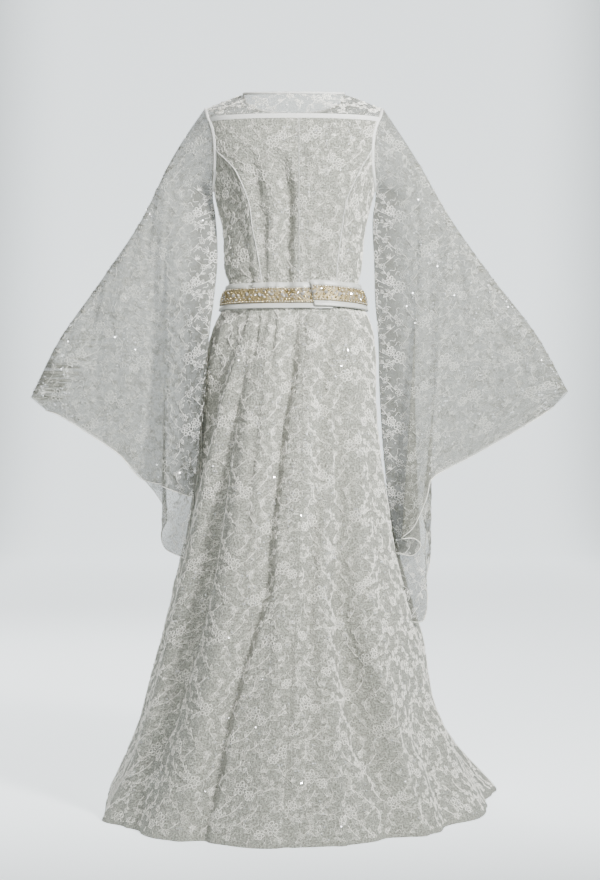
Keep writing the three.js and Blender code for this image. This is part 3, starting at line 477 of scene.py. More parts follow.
def grid_piece(name, points, flat, material, thickness=0.0, inward=True, doubled=None):
    """An object from a grid of points: rows run upwards and columns to the right, seen from outside."""
    rows, columns = points.shape[:2]
    sheet = bmesh.new()
    bmesh.ops.create_grid(sheet, x_segments=columns - 1, y_segments=rows - 1, size=0.5)
    uv = sheet.loops.layers.uv.new("cloth")
    layers = sheet.verts.layers.float.new("doubled")
    sheet.verts.ensure_lookup_table()
    place = {}
    for vert in sheet.verts:
        spot = (round((vert.co.y + 0.5) * (rows - 1)), round((vert.co.x + 0.5) * (columns - 1)))
        place[vert.index] = spot
    for vert in sheet.verts:
        vert.co = points[place[vert.index]] * MM
        vert[layers] = 0.0 if doubled is None else float(doubled[place[vert.index]])
    for face in sheet.faces:
        face.smooth = True
        for loop in face.loops:
            loop[uv].uv = flat[place[loop.vert.index]] * MM
    for edge in sheet.edges:
        edge.smooth = not edge.is_boundary      # so that a wall's edge doesn't shade the cloth beside it
    mesh = bpy.data.meshes.new(name)
    sheet.to_mesh(mesh)
    sheet.free()
    piece = bpy.data.objects.new(name, mesh)
    bpy.context.scene.collection.objects.link(piece)
    mesh.materials.append(material)
    if thickness:
        wall = piece.modifiers.new("cloth wall", "SOLIDIFY")
        wall.thickness = thickness * MM
        wall.offset = -1 if inward else 0
        wall.use_rim = True
    pieces[name] = {"object": piece, "points": points, "flat": flat, "normals": grid_normals(points),
                    "doubled": doubled}
    return piece


def between(heights, left_edge, right_edge, columns):
    """Points of the form between two seams."""
    z = np.asarray(heights, float)[:, None]
    u = np.linspace(0, 1, columns + 1)[None, :]
    start, end = left_edge(z), right_edge(z)
    return shell(start + (end - start) * u, z + 0 * u)


print("the waist is", round(float(girth(LEFT, WAIST) + girth(RIGHT, WAIST))), "mm wide")

# %% [markdown]
# ## Cloth materials
# Lace of this kind is a fine net of cotton or nylon, about a millimetre between threads, with cords and
# flowers stitched on it. Over a matt satin lining it reads as a warm white ground with a fine grain; alone
# it is see-through. Threads that fine would vanish at this distance, so the net is drawn two to three times
# as coarse.

# %% Cloth materials
# Sizes of the patterns in millimetres. The real nets have a thread each millimetre and are drawn coarser. A
# cord's twist, a tape's weave and satin's floats are finer still, and are drawn as coarse as they need to
# show.
GRAIN = {"lined_net": 3.2, "sheer_net": 2.6, "gold_net": 2.0, "lining_clouds": 3.3333, "net_clouds": 4.1667,
         "veil": 3.3333, "crinkle": (3.8462, 8.3333), "cord_twist": 1.1111, "sleeve_twist": 1.4286,
         "filling_stitches": 1.9231, "tape_weave": 1.4286, "satin_floats": (3.3333, 0.38462), "bead": 3.8462,
         "sequin": 5.5556}


def per_metre(size):
    """A pattern's scale in repeats to the metre, from its size in millimetres."""
    return 1 / (size * MM)


def net_pattern(tree, threads_mm, thickness):
    """1 on the threads of a six-sided net and 0 in its holes, from the cloth's own flat map."""
    flat = add_node(tree, "ShaderNodeUVMap", {"uv_map": "cloth"})
    shape = {"feature": "DISTANCE_TO_EDGE", "voronoi_dimensions": "2D"}
    cells = add_node(tree, "ShaderNodeTexVoronoi", shape, Vector=flat.outputs["UV"],
                     Scale=per_metre(threads_mm), Randomness=0.35)
    edge = add_node(tree, "ShaderNodeMapRange", {"interpolation_type": "SMOOTHSTEP"},
                    Value=cells.outputs["Distance"], From_Min=0.0, From_Max=thickness, To_Min=1.0, To_Max=0.0)
    return flat, edge.outputs["Result"]


def cloth_tone(tree, flat, dark, light, size, extra=None):
    """A soft cloudiness between two tones, as in cloth whose net lies nearer or further from its lining."""
    clouds = add_node(tree, "ShaderNodeTexNoise", Vector=flat.outputs["UV"], Scale=per_metre(size),
                      Detail=4.0, Roughness=0.62)
    spread = add_node(tree, "ShaderNodeMapRange", Value=clouds.outputs["Fac"], From_Min=0.42, From_Max=0.58)
    tone = add_node(tree, "ShaderNodeMix", {"data_type": "RGBA"}, _0=spread.outputs["Result"],
                    _6=hex_colour(dark), _7=hex_colour(light))
    if extra is None:
        return tone.outputs[2]
    lifted = add_node(tree, "ShaderNodeMix", {"data_type": "RGBA"}, _0=extra, _6=tone.outputs[2],
                      _7=hex_colour(light))
    return lifted.outputs[2]


# Knotted cotton net over a woven lining, both of fine matt yarn: it shows no highlight, only a faint sheen
# at a grazing angle, and the net crinkles a little on the lining.
lined_lace, tree, shader = new_material("lace_over_satin_lining", Roughness=0.72, Sheen_Weight=0.15,
                                        Sheen_Roughness=0.5)
flat_map, threads = net_pattern(tree, GRAIN["lined_net"], 0.16)
web = add_node(tree, "ShaderNodeMath", {"operation": "MULTIPLY"}, _0=threads, _1=0.25)
ground_tone = cloth_tone(tree, flat_map, "8f9183", "cdcec1", GRAIN["lining_clouds"], web.outputs[0])
tree.links.new(ground_tone, shader.inputs["Base Color"])
streaks = add_node(tree, "ShaderNodeMapping", Vector=flat_map.outputs["UV"],
                   Scale=(*[per_metre(size) for size in GRAIN["crinkle"]], 1))
crinkle = add_node(tree, "ShaderNodeTexNoise", Vector=streaks.outputs["Vector"], Scale=1.0, Detail=4.0,
                   Roughness=0.6)
relief = add_node(tree, "ShaderNodeMath", {"operation": "MULTIPLY_ADD"}, _0=crinkle.outputs["Fac"], _1=3.4,
                  _2=threads)
bump = add_node(tree, "ShaderNodeBump", Strength=1.0, Distance=0.002, Height=relief.outputs[0])
tree.links.new(bump.outputs["Normal"], shader.inputs["Normal"])

# The same knotted net of matt yarn alone. What lies behind shows through its holes. Its grey tones are
# painted shade: the white net as seen from its unlit side. Where it lies two deep beside the body it takes
# one even dark grey.
sheer_lace, tree, shader = new_material("sheer_lace_net", Roughness=0.8, Sheen_Weight=0.2)
flat_map, threads = net_pattern(tree, GRAIN["sheer_net"], 0.2)
doubled = add_node(tree, "ShaderNodeAttribute", {"attribute_name": "doubled"})
# painted shade: the net's greys, and one even dark grey where the lace lies two deep
tone = add_node(tree, "ShaderNodeMix", {"data_type": "RGBA"}, _0=doubled.outputs["Fac"],
                _6=cloth_tone(tree, flat_map, "6a6b61", "94958a", GRAIN["net_clouds"]),
                _7=hex_colour("686960"))
tree.links.new(tone.outputs[2], shader.inputs["Base Color"])
clouds = add_node(tree, "ShaderNodeTexNoise", Vector=flat_map.outputs["UV"], Scale=per_metre(GRAIN["veil"]),
                  Detail=3.0)
veil = add_node(tree, "ShaderNodeMapRange", Value=clouds.outputs["Fac"], From_Min=0.35, From_Max=0.65,
                To_Min=0.43, To_Max=0.53)
# The seam's allowance and the cloth behind it make the lace two deep beside the body, so less shows through
# there.
cover = add_node(tree, "ShaderNodeMath", {"operation": "MULTIPLY_ADD"}, _0=threads, _1=0.26,
                 _2=veil.outputs["Result"])
cover = add_node(tree, "ShaderNodeMath", {"operation": "MULTIPLY_ADD", "use_clamp": True},
                 _0=doubled.outputs["Fac"], _1=0.16, _2=cover.outputs[0])
tree.links.new(cover.outputs[0], shader.inputs["Alpha"])

# Mercerised cotton, twisted from several yarns: whiter and a little smoother than the net, finely twisted.
lace_cord, tree, shader = new_material("lace_cord_cotton", Roughness=0.6, Sheen_Weight=0.1)
place = add_node(tree, "ShaderNodeTexCoord")
twist = add_node(tree, "ShaderNodeTexNoise", Vector=place.outputs["Object"],
                 Scale=per_metre(GRAIN["cord_twist"]), Detail=2.0)
tone = add_node(tree, "ShaderNodeMix", {"data_type": "RGBA"}, _0=twist.outputs["Fac"],
                _6=hex_colour("f3f1e5"), _7=hex_colour("fdfbf3"))
tree.links.new(tone.outputs[2], shader.inputs["Base Color"])
bump = add_node(tree, "ShaderNodeBump", Strength=0.4, Distance=0.0006, Height=twist.outputs["Fac"])
tree.links.new(bump.outputs["Normal"], shader.inputs["Normal"])

# Petals and leaves are filled with loose rows of the same yarn, so the ground shows between the stitches.
lace_filling, tree, shader = new_material("lace_filling_stitches", Roughness=0.7)
place = add_node(tree, "ShaderNodeTexCoord")
stitches = add_node(tree, "ShaderNodeTexNoise", Vector=place.outputs["Object"],
                    Scale=per_metre(GRAIN["filling_stitches"]), Detail=3.0)
tone = add_node(tree, "ShaderNodeMix", {"data_type": "RGBA"}, _0=stitches.outputs["Fac"],
                _6=hex_colour("d2d3c9"), _7=hex_colour("ecece4"))
tree.links.new(tone.outputs[2], shader.inputs["Base Color"])
bump = add_node(tree, "ShaderNodeBump", Strength=0.6, Distance=0.0008, Height=stitches.outputs["Fac"])
tree.links.new(bump.outputs["Normal"], shader.inputs["Normal"])
open_work = add_node(tree, "ShaderNodeMapRange", Value=stitches.outputs["Fac"], From_Min=0.35, From_Max=0.65,
                     To_Min=0.0, To_Max=0.2)
tree.links.new(open_work.outputs["Result"], shader.inputs["Alpha"])

# On the sleeves the cords lie on see-through net and are thinner worked, so a little shows through them.
# Their grey is painted shade, the cords as seen from the net's unlit side. Beside the body, where the lace
# lies two deep, they are white and hide what lies behind.
sleeve_cord, tree, shader = new_material("lace_cord_on_sheer_net", Roughness=0.65, Sheen_Weight=0.1)
place = add_node(tree, "ShaderNodeTexCoord")
twist = add_node(tree, "ShaderNodeTexNoise", Vector=place.outputs["Object"],
                 Scale=per_metre(GRAIN["sleeve_twist"]), Detail=2.0)
doubled = add_node(tree, "ShaderNodeAttribute", {"attribute_name": "doubled"})
# painted shade: grey cords on the sleeves, white ones where the lace lies two deep
painted_shade_cord = add_node(tree, "ShaderNodeMix", {"data_type": "RGBA"}, _0=twist.outputs["Fac"],
                _6=hex_colour("cccdc4"), _7=hex_colour("e4e4dc"))
tone = add_node(tree, "ShaderNodeMix", {"data_type": "RGBA"}, _0=doubled.outputs["Fac"], _6=painted_shade_cord.outputs[2],
                _7=hex_colour("fbfaf4"))
tree.links.new(tone.outputs[2], shader.inputs["Base Color"])
cover = add_node(tree, "ShaderNodeMapRange", Value=doubled.outputs["Fac"], To_Min=0.85, To_Max=1.0)
tree.links.new(cover.outputs["Result"], shader.inputs["Alpha"])
bump = add_node(tree, "ShaderNodeBump", Strength=0.4, Distance=0.0006, Height=twist.outputs["Fac"])
tree.links.new(bump.outputs["Normal"], shader.inputs["Normal"])

# Bias tape is plain woven cotton, cut slantwise, pressed and folded: evenly matt, with a very fine weave.
tape, tree, shader = new_material("cotton_bias_tape", Roughness=0.62, Sheen_Weight=0.15)
place = add_node(tree, "ShaderNodeTexCoord")
weave = add_node(tree, "ShaderNodeTexNoise", Vector=place.outputs["Object"],
                 Scale=per_metre(GRAIN["tape_weave"]), Detail=2.0)
tone = add_node(tree, "ShaderNodeMix", {"data_type": "RGBA"}, _0=weave.outputs["Fac"],
                _6=hex_colour("d9dad5"), _7=hex_colour("f2f2ee"))
tree.links.new(tone.outputs[2], shader.inputs["Base Color"])
bump = add_node(tree, "ShaderNodeBump", Strength=0.35, Distance=0.0007, Height=weave.outputs["Fac"])
tree.links.new(bump.outputs["Normal"], shader.inputs["Normal"])
print("nets are drawn", GRAIN["lined_net"], "and", GRAIN["sheer_net"], "mm apart")

# %% [markdown]
# ## Bodice
# Seven panels: two at the centre back, which meet in the centre back seam, a side panel on either side of
# each princess seam, and one front cut on the fold. Lace and lining are sewn as one, so each is one wall.

# %% Bodice
BODICE_TOP, BODICE_BOTTOM = YOKE_BOTTOM - 9, WAIST
LINED_WALL = 2.0


def centre_back_angle(z):
    """The centre back seam hangs straight down, so its angle changes as the form narrows."""
    return angle_at(CENTRE_BACK + 0 * z, z, True)


def side_panel(side, on_back, columns=20, rows=44):
    """A panel from the princess seam to the side seam, with the armhole's curve as its top edge."""
    u = np.linspace(0, 1, columns + 1)[None, :]
    v = np.linspace(0, 1, rows + 1)[:, None]
    notch_angle = armhole_angle(NOTCH[on_back], on_back)
    top = armhole_height(notch_angle + (math.pi / 2 - notch_angle) * u, on_back)
    z = BODICE_BOTTOM + (top - BODICE_BOTTOM) * v
    seam = np.abs(princess_angle(side, on_back, BODICE_BOTTOM + (NOTCH[on_back] - BODICE_BOTTOM) * v))
    points = shell(side * (seam + (math.pi / 2 - seam) * u), z)
    return points if side > 0 and on_back or side < 0 and not on_back else points[:, ::-1]


heights = np.linspace(BODICE_BOTTOM, BODICE_TOP, 56)
bodice = {
    "bodice_back_left": between(heights, lambda z: princess_angle(-1, True, z), centre_back_angle, 26),
    "bodice_back_right": between(heights, centre_back_angle, lambda z: princess_angle(1, True, z), 26),
    "bodice_front": between(heights, lambda z: princess_angle(1, False, z),
                            lambda z: princess_angle(-1, False, z) + 2 * math.pi, 48),
    "bodice_side_back_left": side_panel(-1, True), "bodice_side_back_right": side_panel(1, True),
    "bodice_side_front_left": side_panel(-1, False), "bodice_side_front_right": side_panel(1, False)}
for name, points in bodice.items():
    panel = grid_piece(name + "_lace", points, cloth_lengths(points), lined_lace, LINED_WALL)
    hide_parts(name)
print("bodice panels:", len(bodice))

# %% [markdown]
# ## Skirt
# Seven gores, each wider at the hem, are gathered a little into the belt. The two at the back are the
# longest and lie on the floor as a train. They share one form, so that folds run on over the seams as they
# do in cloth.

# %% Skirt
# angles at the belt and at the hem
GORE_SEAMS = {"centre_back": (6.4, -2), "back_left": (-37, -42), "back_right": (45, 44), "left": (-90, -90),
              "right": (90, 90), "front_left": (-146, -148), "front_right": (146, 148)}


def gore_seam(name, turns=0):
    """A seam's angle at each height. turns is 1 for a seam that is met after a whole turn."""
    belt, hem = GORE_SEAMS[name]

    def angle(z):
        down = smooth((BELT_BOTTOM - z) / (BELT_BOTTOM - FLOOR))
        return np.radians(belt + (hem - belt) * down + 360 * turns)

    return angle


UNDER_BELT = [-396, -386, WAIST]     # rows behind the belt
heights = np.concatenate([np.linspace(FLOOR, BELT_BOTTOM, 96), UNDER_BELT])
# each gore: the seam where it starts, the one where it ends, the whole turns between, and its columns
GORES = {"skirt_back_left": ("back_left", "centre_back", 0, 64),
         "skirt_back_right": ("centre_back", "back_right", 0, 64),
         "skirt_side_left": ("left", "back_left", 0, 54),
         "skirt_side_right": ("back_right", "right", 0, 54),
         "skirt_side_front_right": ("right", "front_right", 0, 48),
         "skirt_side_front_left": ("front_left", "left", 0, 48),
         "skirt_front": ("front_right", "front_left", 1, 54)}
for name, (start, end, turns, columns) in GORES.items():
    points = between(heights, gore_seam(start), gore_seam(end, turns), columns)
    panel = grid_piece(name + "_lace", points, cloth_lengths(points), lined_lace, LINED_WALL)
    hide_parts(name)
print("skirt gores:", len(GORES))

# %% [markdown]
# ## Yoke
# The yoke is lace alone. It runs from the lining's edge over the shoulders to the wide neck, back and
# front, with a shoulder seam between. It swells a little between its edges, as cloth over shoulders does.

# %% Yoke
SHOULDER = (175, 2)
NECK = {True: (-62, 22), False: (74, 2)}     # y and z of the neck's middle, on the back and on the front
NECK_POINT = (103, 30)
NECK_SHARE = 0.62                   # of half a yoke's top edge, and the shoulder seam takes the rest
SWELL = 7


def neck_curve(turn, on_back):
    """The neck's edge, from the left neck point at -1 to the right one at 1."""
    turn = np.asarray(turn, float)
    bow = np.cos(turn * math.pi / 2).clip(0) ** 0.8
    y, z = NECK[on_back]
    x = NECK_POINT[0] * np.sin(turn * math.pi / 2)
    return np.stack([x, y * bow, NECK_POINT[1] + (z - NECK_POINT[1]) * bow], -1)


def yoke_point(across, up, on_back):
    """A point of a yoke: across is -1 at the left armhole and 1 at the right, up is 0 at the lining."""
    across, up = np.broadcast_arrays(np.asarray(across, float), np.asarray(up, float))
    reach = armhole_angle(YOKE_BOTTOM, on_back)
    angle = across * reach if on_back else math.pi - across * (math.pi - reach)
    low = shell(angle, YOKE_BOTTOM + 0 * angle)
    share = np.abs(across)
    out = ((share - NECK_SHARE) / (1 - NECK_SHARE)).clip(0, 1)
    shoulder = np.stack([np.sign(across) * (NECK_POINT[0] + (SHOULDER[0] - NECK_POINT[0]) * out), 0 * out,
                         NECK_POINT[1] + (SHOULDER[1] - NECK_POINT[1]) * out ** 1.15], -1)
    neck = neck_curve((across / NECK_SHARE).clip(-1, 1), on_back)
    high = np.where((share <= NECK_SHARE)[..., None], neck, shoulder)
    swell = SWELL * np.sin(math.pi * up) * (1 - 0.5 * share)
    puff = np.stack([0 * swell, -swell if on_back else swell, swell * 0.4], -1)
    return low + (high - low) * up[..., None] + puff


for on_back in (True, False):
    word = "back" if on_back else "front"
    across = np.linspace(-1, 1, 97)[None, :] * (1 if on_back else -1)
    up = np.linspace(0, 1, 19)[:, None]
    points = yoke_point(across, up, on_back)
    rise = np.linalg.norm(np.diff(points, axis=0), axis=2).cumsum(0)
    flat = np.stack([points[..., 0], np.concatenate([np.zeros((1, points.shape[1])), rise])], -1)
    panel = grid_piece(f"yoke_{word}_lace", points, flat, sheer_lace)
    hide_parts("yoke_" + word)
    edge_z = np.linspace(YOKE_BOTTOM - 9, YOKE_BOTTOM, 4)
    if on_back:
        band = between(edge_z, lambda z: -armhole_angle(z, True), lambda z: armhole_angle(z, True), 72)
    else:
        band = between(edge_z, lambda z: armhole_angle(z, False),
                       lambda z: 2 * math.pi - armhole_angle(z, False), 72)
    band += grid_normals(band) * (0.7 * np.sin(np.linspace(0.2, math.pi - 0.2, 4)))[:, None, None]
    turned = grid_piece(f"lining_edge_{word}_turned", band, cloth_lengths(band), tape, 2.6)
    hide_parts("lining_edge_" + word)
print("yoke pieces made")

# %% [markdown]
# ## Sleeves
# Each sleeve is a great triangle of lace, folded over the arm. The fold is its crest, the long free side
# hangs as the underarm seam, and the rest is hem. Near the armhole it is a tube, and from there each half
# hangs in a curve from crest to hem, with its tail folded to and fro.

# %% Sleeve tables
#      share of the crest's length, x, y, z
CREST = {
    -1: [(0, -176.4, 0, 3.2), (0.16, -236, -4, -82), (0.36, -304, -6, -219), (0.58, -379, -4, -332),
         (0.8, -469, 0, -460), (1, -526, 4, -574)],
    1: [(0, 176.4, 0, 3.2), (0.16, 237, -4, -86), (0.36, 311, -6, -215), (0.58, 394, -4, -333),
        (0.8, 482, 0, -446), (1, 548, 4, -563)]}
#      z, x, y of the underarm seam
INNER = {
    -1: [(-164, -162.5, 0), (-230, -155, -6), (-300, -152, -18), (-380, -158, -44), (-454, -166, -76),
         (-540, -172, -94), (-620, -179, -96), (-700, -187, -92), (-773, -197, -78), (-840, -210, -46),
         (-896, -219, -10)],
    1: [(-164, 162.5, 0), (-230, 157, 0), (-300, 160, 0), (-380, 162, 0), (-454, 168, 0), (-540, 170, 2),
        (-620, 174, 4), (-700, 180, 4), (-780, 188, 4), (-856, 199, 4), (-940, 215, 6), (-1024, 232, 8)]}
#      share from the tail to the wrist, x, y, z; True is the back half
HEM = {
    (-1, True): [(0, -197, -79, -773), (0.1, -232, -76, -762), (0.18, -264, -58, -750),
                 (0.23, -258, -32, -748), (0.32, -285, -15, -744), (0.4, -312, -12, -732),
                 (0.5, -345, -14, -692), (0.66, -400, -12, -654), (0.85, -465, -10, -613),
                 (1, -497, 2.4, -600)],
    (-1, False): [(0, -219, -7, -896), (0.08, -243, 6, -886), (0.15, -268, 12, -873),
                  (0.2, -268, 22, -846), (0.26, -256, 30, -818), (0.33, -270, 38, -782),
                  (0.42, -304, 32, -738), (0.55, -356, 22, -684), (0.7, -408, 18, -646),
                  (0.86, -465, 16, -611), (1, -497, 5.6, -600)],
    (1, True): [(0, 205, 3.4, -886), (0.06, 240, -2, -890), (0.11, 264, -6, -897), (0.15, 268, -14, -868),
                (0.19, 240, -20, -854), (0.22, 214, -26, -856), (0.27, 238, -34, -832),
                (0.32, 262, -38, -778), (0.37, 272, -32, -740), (0.45, 305, -16, -718),
                (0.54, 347, -12, -697), (0.7, 420, -12, -656), (0.86, 486, -10, -616),
                (1, 521, 2.4, -592)],
    (1, False): [(0, 232, 8.6, -1024), (0.06, 254, 12, -1026), (0.12, 279, 16, -1022),
                 (0.17, 274, 30, -978), (0.22, 266, 36, -945), (0.28, 276, 46, -896),
                 (0.33, 270, 50, -850), (0.38, 260, 54, -800), (0.46, 278, 44, -738),
                 (0.6, 356, 26, -690), (0.76, 426, 18, -650), (0.9, 486, 14, -614), (1, 521, 5.6, -592)]}
# Folds: place at the crest, place at the hem, depth, half-width, as shares of the hem; the first four are
# broad.
SLEEVE_FOLDS = [
    (0.3, 0.3, 9, 0.07), (0.47, 0.47, -6, 0.09), (0.63, 0.63, 8, 0.07), (0.82, 0.82, -5, 0.08),
    (0.14, 0.27, 4, 0.035), (0.22, 0.39, -3, 0.03), (0.35, 0.55, 3.2, 0.035), (0.5, 0.72, -2.6, 0.03),
    (0.1, 0.15, 3, 0.03), (0.66, 0.9, 2.4, 0.03)]
ARM_ROUND, CUFF_ROUND = 34, 26
ARMHOLE_ROWS, SLEEVE_ROWS = 7, 18
TUBE_PART = ARMHOLE_ROWS / SLEEVE_ROWS
SEAM_STEP = 2.0
PIPING = 1.7
SHOULDER_ROUND, ARM_DROP, FULLNESS = 1.1, 0.3, 1.25      # how a half rounds the arm before it hangs
TIERS = {"height": 54, "slant": 0.55, "depth": 8, "from": -790, "fade": 50}
JOIN = 0.22                         # share of the length over which a half leaves the armhole's curve
DOUBLED = {"width": 34, "fade": 30, "rows": 0.06, "front": 0.3, "from": -740, "front_fade": 60}


def table_point(rows, share):
    """A point of CREST or HEM at a share of its length."""
    places = [row[0] for row in rows]
    return np.stack([along_curve(places, [row[k] for row in rows], share) for k in (1, 2, 3)], -1)


def armhole_edge(side, on_back, share):
    """The armhole's edge from the shoulder point at 0 down to the underarm at 1."""
    share = np.asarray(share, float)
    first = 1 / ARMHOLE_ROWS
    yoke_part = yoke_point(side + 0 * share, (1 - share / first).clip(0, 1), on_back)
    start = math.acos((YOKE_BOTTOM - ARMHOLE["middle"]) / ARMHOLE["rise"])
    turn = start + (math.pi - start) * ((share - first) / (1 - first)).clip(0, 1)
    z = ARMHOLE["middle"] + ARMHOLE["rise"] * np.cos(turn)
    return np.where((share < first)[..., None], yoke_part, shell(side * armhole_angle(z, on_back), z))


def outwards(side, share, distance):
    """The step from the armhole's edge out to the sleeve. It leans up at both ends, more at the underarm."""
    cosine = np.cos(np.asarray(share, float) * math.pi)
    lean = np.stack([side + 0 * cosine, 0 * cosine, 0.3 * cosine + 1.5 * (-cosine).clip(0) ** 3], -1)
    return unit(lean) * np.asarray(distance, float)[..., None]


def sleeve_inner(side, on_back, down, end):
    """The edge of a sleeve half next to the body: half the armhole, then the underarm seam."""
    outward = -1 if on_back else 1

    def clear(share):
        return 2 * PIPING + 0.4 + 1.4 * smooth((share - 0.8) / 0.2)

    share = (down / TUBE_PART).clip(0, 1)
    step = SEAM_STEP * smooth((share - 0.6) / 0.4)
    tube = armhole_edge(side, on_back, share) + outwards(side, share, clear(share))
    tube = tube + np.stack([0 * step, outward * step, 0 * step], -1)
    z = UNDERARM + (end - UNDERARM) * ((down - TUBE_PART) / (1 - TUBE_PART)).clip(0, 1)
    seam = INNER[side]
    places = [row[0] for row in seam]
    edge = np.stack([*(along_curve(places, [row[k] for row in seam], z) for k in (1, 2)), z], -1)
    start = armhole_edge(side, on_back, 1.0) + outwards(side, 1.0, clear(1.0))
    start = np.broadcast_to(start, edge.shape).copy()
    start[..., 2] += (z - start[..., 2]) * smooth((UNDERARM - z) / 6)
    low = start + (edge - start) * smooth((UNDERARM - z) / 40)[..., None]
    low = low + np.array([0, outward * SEAM_STEP, 0])
    return np.where((down < TUBE_PART)[..., None], tube, low)


def sleeve_half(side, on_back, columns=110, rows=96):
    """One half of a sleeve: its worn points, its flat pattern, and where another layer shows through it."""
    outward = -1 if on_back else 1
    hem = HEM[(side, on_back)]
    along = np.linspace(0, 1, columns + 1)[None, :] + np.zeros((rows + 1, 1))
    down = np.linspace(1, 0, rows + 1)[:, None] + 0 * along
    top, foot = table_point(CREST[side], along), table_point(hem, along)
    arm = ARM_ROUND + (CUFF_ROUND - ARM_ROUND) * along
    shoulder = top + np.stack([0 * arm, outward * arm * SHOULDER_ROUND, 0 * arm], -1)
    hang = top + (foot - top) * ARM_DROP
    hang[..., 1] = outward * arm * FULLNESS + top[..., 1]
    sink = np.zeros(along.shape)
    for at_crest, at_hem, deep, half in SLEEVE_FOLDS:
        sink += deep * hump((along - at_crest - (at_hem - at_crest) * down) / half)
    weights = [(1 - down) ** 3, 3 * down * (1 - down) ** 2, 3 * down ** 2 * (1 - down), down ** 3]
    hung = sum(w[..., None] * p for w, p in zip(weights, (top, shoulder, hang, foot)))
    hung[..., 1] -= outward * sink * np.sin(math.pi * down)
    if not on_back:                 # the tail of the front half hangs in small tiers
        slanted = hung[..., 2] + TIERS["slant"] * side * hung[..., 0]
        tiers = np.sin(2 * math.pi * slanted / TIERS["height"])
        hung[..., 1] += TIERS["depth"] * tiers * smooth((TIERS["from"] - hung[..., 2]) / TIERS["fade"])
    join = 1 - smooth(along / JOIN)
    points = hung + (sleeve_inner(side, on_back, down, hem[0][3]) - hung) * join[..., None]
    level = np.linalg.norm(np.diff(points[..., :2], axis=1), axis=2).cumsum(1)
    level = np.concatenate([np.zeros((rows + 1, 1)), level], 1) + np.abs(points[:, :1, 0])
    flat = np.stack([side * level, points[..., 2] - FLOOR], -1)
    doubled = 1 - smooth((level - level[:, :1] - DOUBLED["width"]) / DOUBLED["fade"])
    doubled = doubled * smooth((down - TUBE_PART + DOUBLED["rows"]) / DOUBLED["rows"])
    if not on_back:
        tail_share = smooth((DOUBLED["from"] - points[..., 2]) / DOUBLED["front_fade"])
        doubled = doubled * (DOUBLED["front"] + (1 - DOUBLED["front"]) * tail_share)
    turned = side * outward > 0
    return (points[:, ::-1], flat[:, ::-1], doubled[:, ::-1]) if turned else (points, flat, doubled)


for side, hand in ((-1, "left"), (1, "right")):
    for on_back, word in ((True, "back"), (False, "front")):
        points, flat, doubled = sleeve_half(side, on_back)
        name = f"sleeve_{hand}_{word}"
        panel = grid_piece(name + "_lace", points, flat, sheer_lace, doubled=doubled)
        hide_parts(name)
print("sleeve halves: 4")

# %% [markdown]
# ## The lace
# Corded lace is one repeat, stitched over and over on net: roses and small flowers with filled petals,
# leaves with a midrib, and vines between them, all outlined in a thick cord. It is drawn flat, once. A cord
# is a row of points whose edges are extruded to either side and whose middle is lifted, so it catches the
# light like a round thread.

# %% One repeat of the lace
REPEAT = (120, 140)                 # millimetres across and along, every second column raised by half
CORD_BASE, CORD_TOP, THIN_HEIGHT, FILL_HEIGHT = 0.2, 1.4, 0.75, 0.4
WIDTH = {"rose": 1.3, "curl": 0.9, "flower": 0.75, "leaf": 0.6, "midrib": 0.7, "vine": 0.8, "sprig": 0.6,
         "tendril": 0.65}


def from_point(x, y, forward, aside, turn):
    """The point that lies forward and aside of another, for a heading given as turn."""
    return (x + forward * math.cos(turn) - aside * math.sin(turn),
            y + forward * math.sin(turn) + aside * math.cos(turn))


def cord(lace, path, width, closed=False, raised=True):
    """A cord along a flat path: raised in the middle like a round thread, or a flat thin one."""
    height = 0 if raised else THIN_HEIGHT
    middle = [lace.verts.new((x, y, height)) for x, y in path]
    following = middle[1:] + middle[:1] if closed else middle[1:]
    edges = [lace.edges.new(pair) for pair in zip(middle, following)]
    path = np.array(path, float)
    ahead = np.roll(path, -1, 0) - np.roll(path, 1, 0)
    if not closed:
        ahead[0], ahead[-1] = path[1] - path[0], path[-1] - path[-2]
    ahead = unit(ahead)
    for sign in (-1, 1) if raised else (1,):
        spread = bmesh.ops.extrude_edge_only(lace, edges=edges)
        new = {tuple(item.co): item for item in spread["geom"] if isinstance(item, bmesh.types.BMVert)}
        for (x, y), (forward_x, forward_y), vert in zip(path, ahead, middle):
            new[tuple(vert.co)].co = (x + sign * forward_y * width / 2, y - sign * forward_x * width / 2,
                                      CORD_BASE if raised else height)
    for (x, y), (forward_x, forward_y), vert in zip(path, ahead, middle):
        if raised:
            vert.co = (x, y, CORD_TOP)
        else:
            vert.co = (x - forward_y * width / 2, y + forward_x * width / 2, height)


def filling(lace, x, y, radius, count=10):
    """A patch of dense stitches, from a filled circle."""
    made = bmesh.ops.create_circle(lace, cap_ends=True, segments=count, radius=radius)
    bmesh.ops.translate(lace, vec=(x, y, FILL_HEIGHT), verts=made["verts"])
    for face in {face for vert in made["verts"] for face in vert.link_faces}:
        face.material_index = 1


def petal(lace, x, y, turn, near, far, wide, width, count):
    """One petal: a loop that starts and ends near the flower's middle."""
    path = []
    for k in range(count):
        t = 2 * math.pi * k / count
        forward = (near + far) / 2 - (far - near) / 2 * math.cos(t)
        aside = wide * math.sin(t) * (1 - 0.25 * math.cos(t))
        path.append(from_point(x, y, forward, aside, turn))
    cord(lace, path, width, closed=True)


def rose(lace, x, y, radius, start):
    """A rose: six looped petals round a curl, on a patch of dense stitches."""
    filling(lace, x, y, radius * 0.86)
    for k in range(6):
        petal(lace, x, y, start + k * math.pi / 3, radius * 0.4, radius, radius * 0.3, WIDTH["rose"], 7)
    curl = [from_point(x, y, radius * (0.3 - 0.035 * k), 0, start + 0.9 * k) for k in range(8)]
    cord(lace, curl, WIDTH["curl"], raised=False)


def small_flower(lace, x, y, radius, start):
    """A flower of five looped petals with a filled middle."""
    filling(lace, x, y, radius * 0.32, 6)
    for k in range(5):
        petal(lace, x, y, start + k * math.pi * 0.4, radius * 0.3, radius, radius * 0.3, WIDTH["flower"], 6)


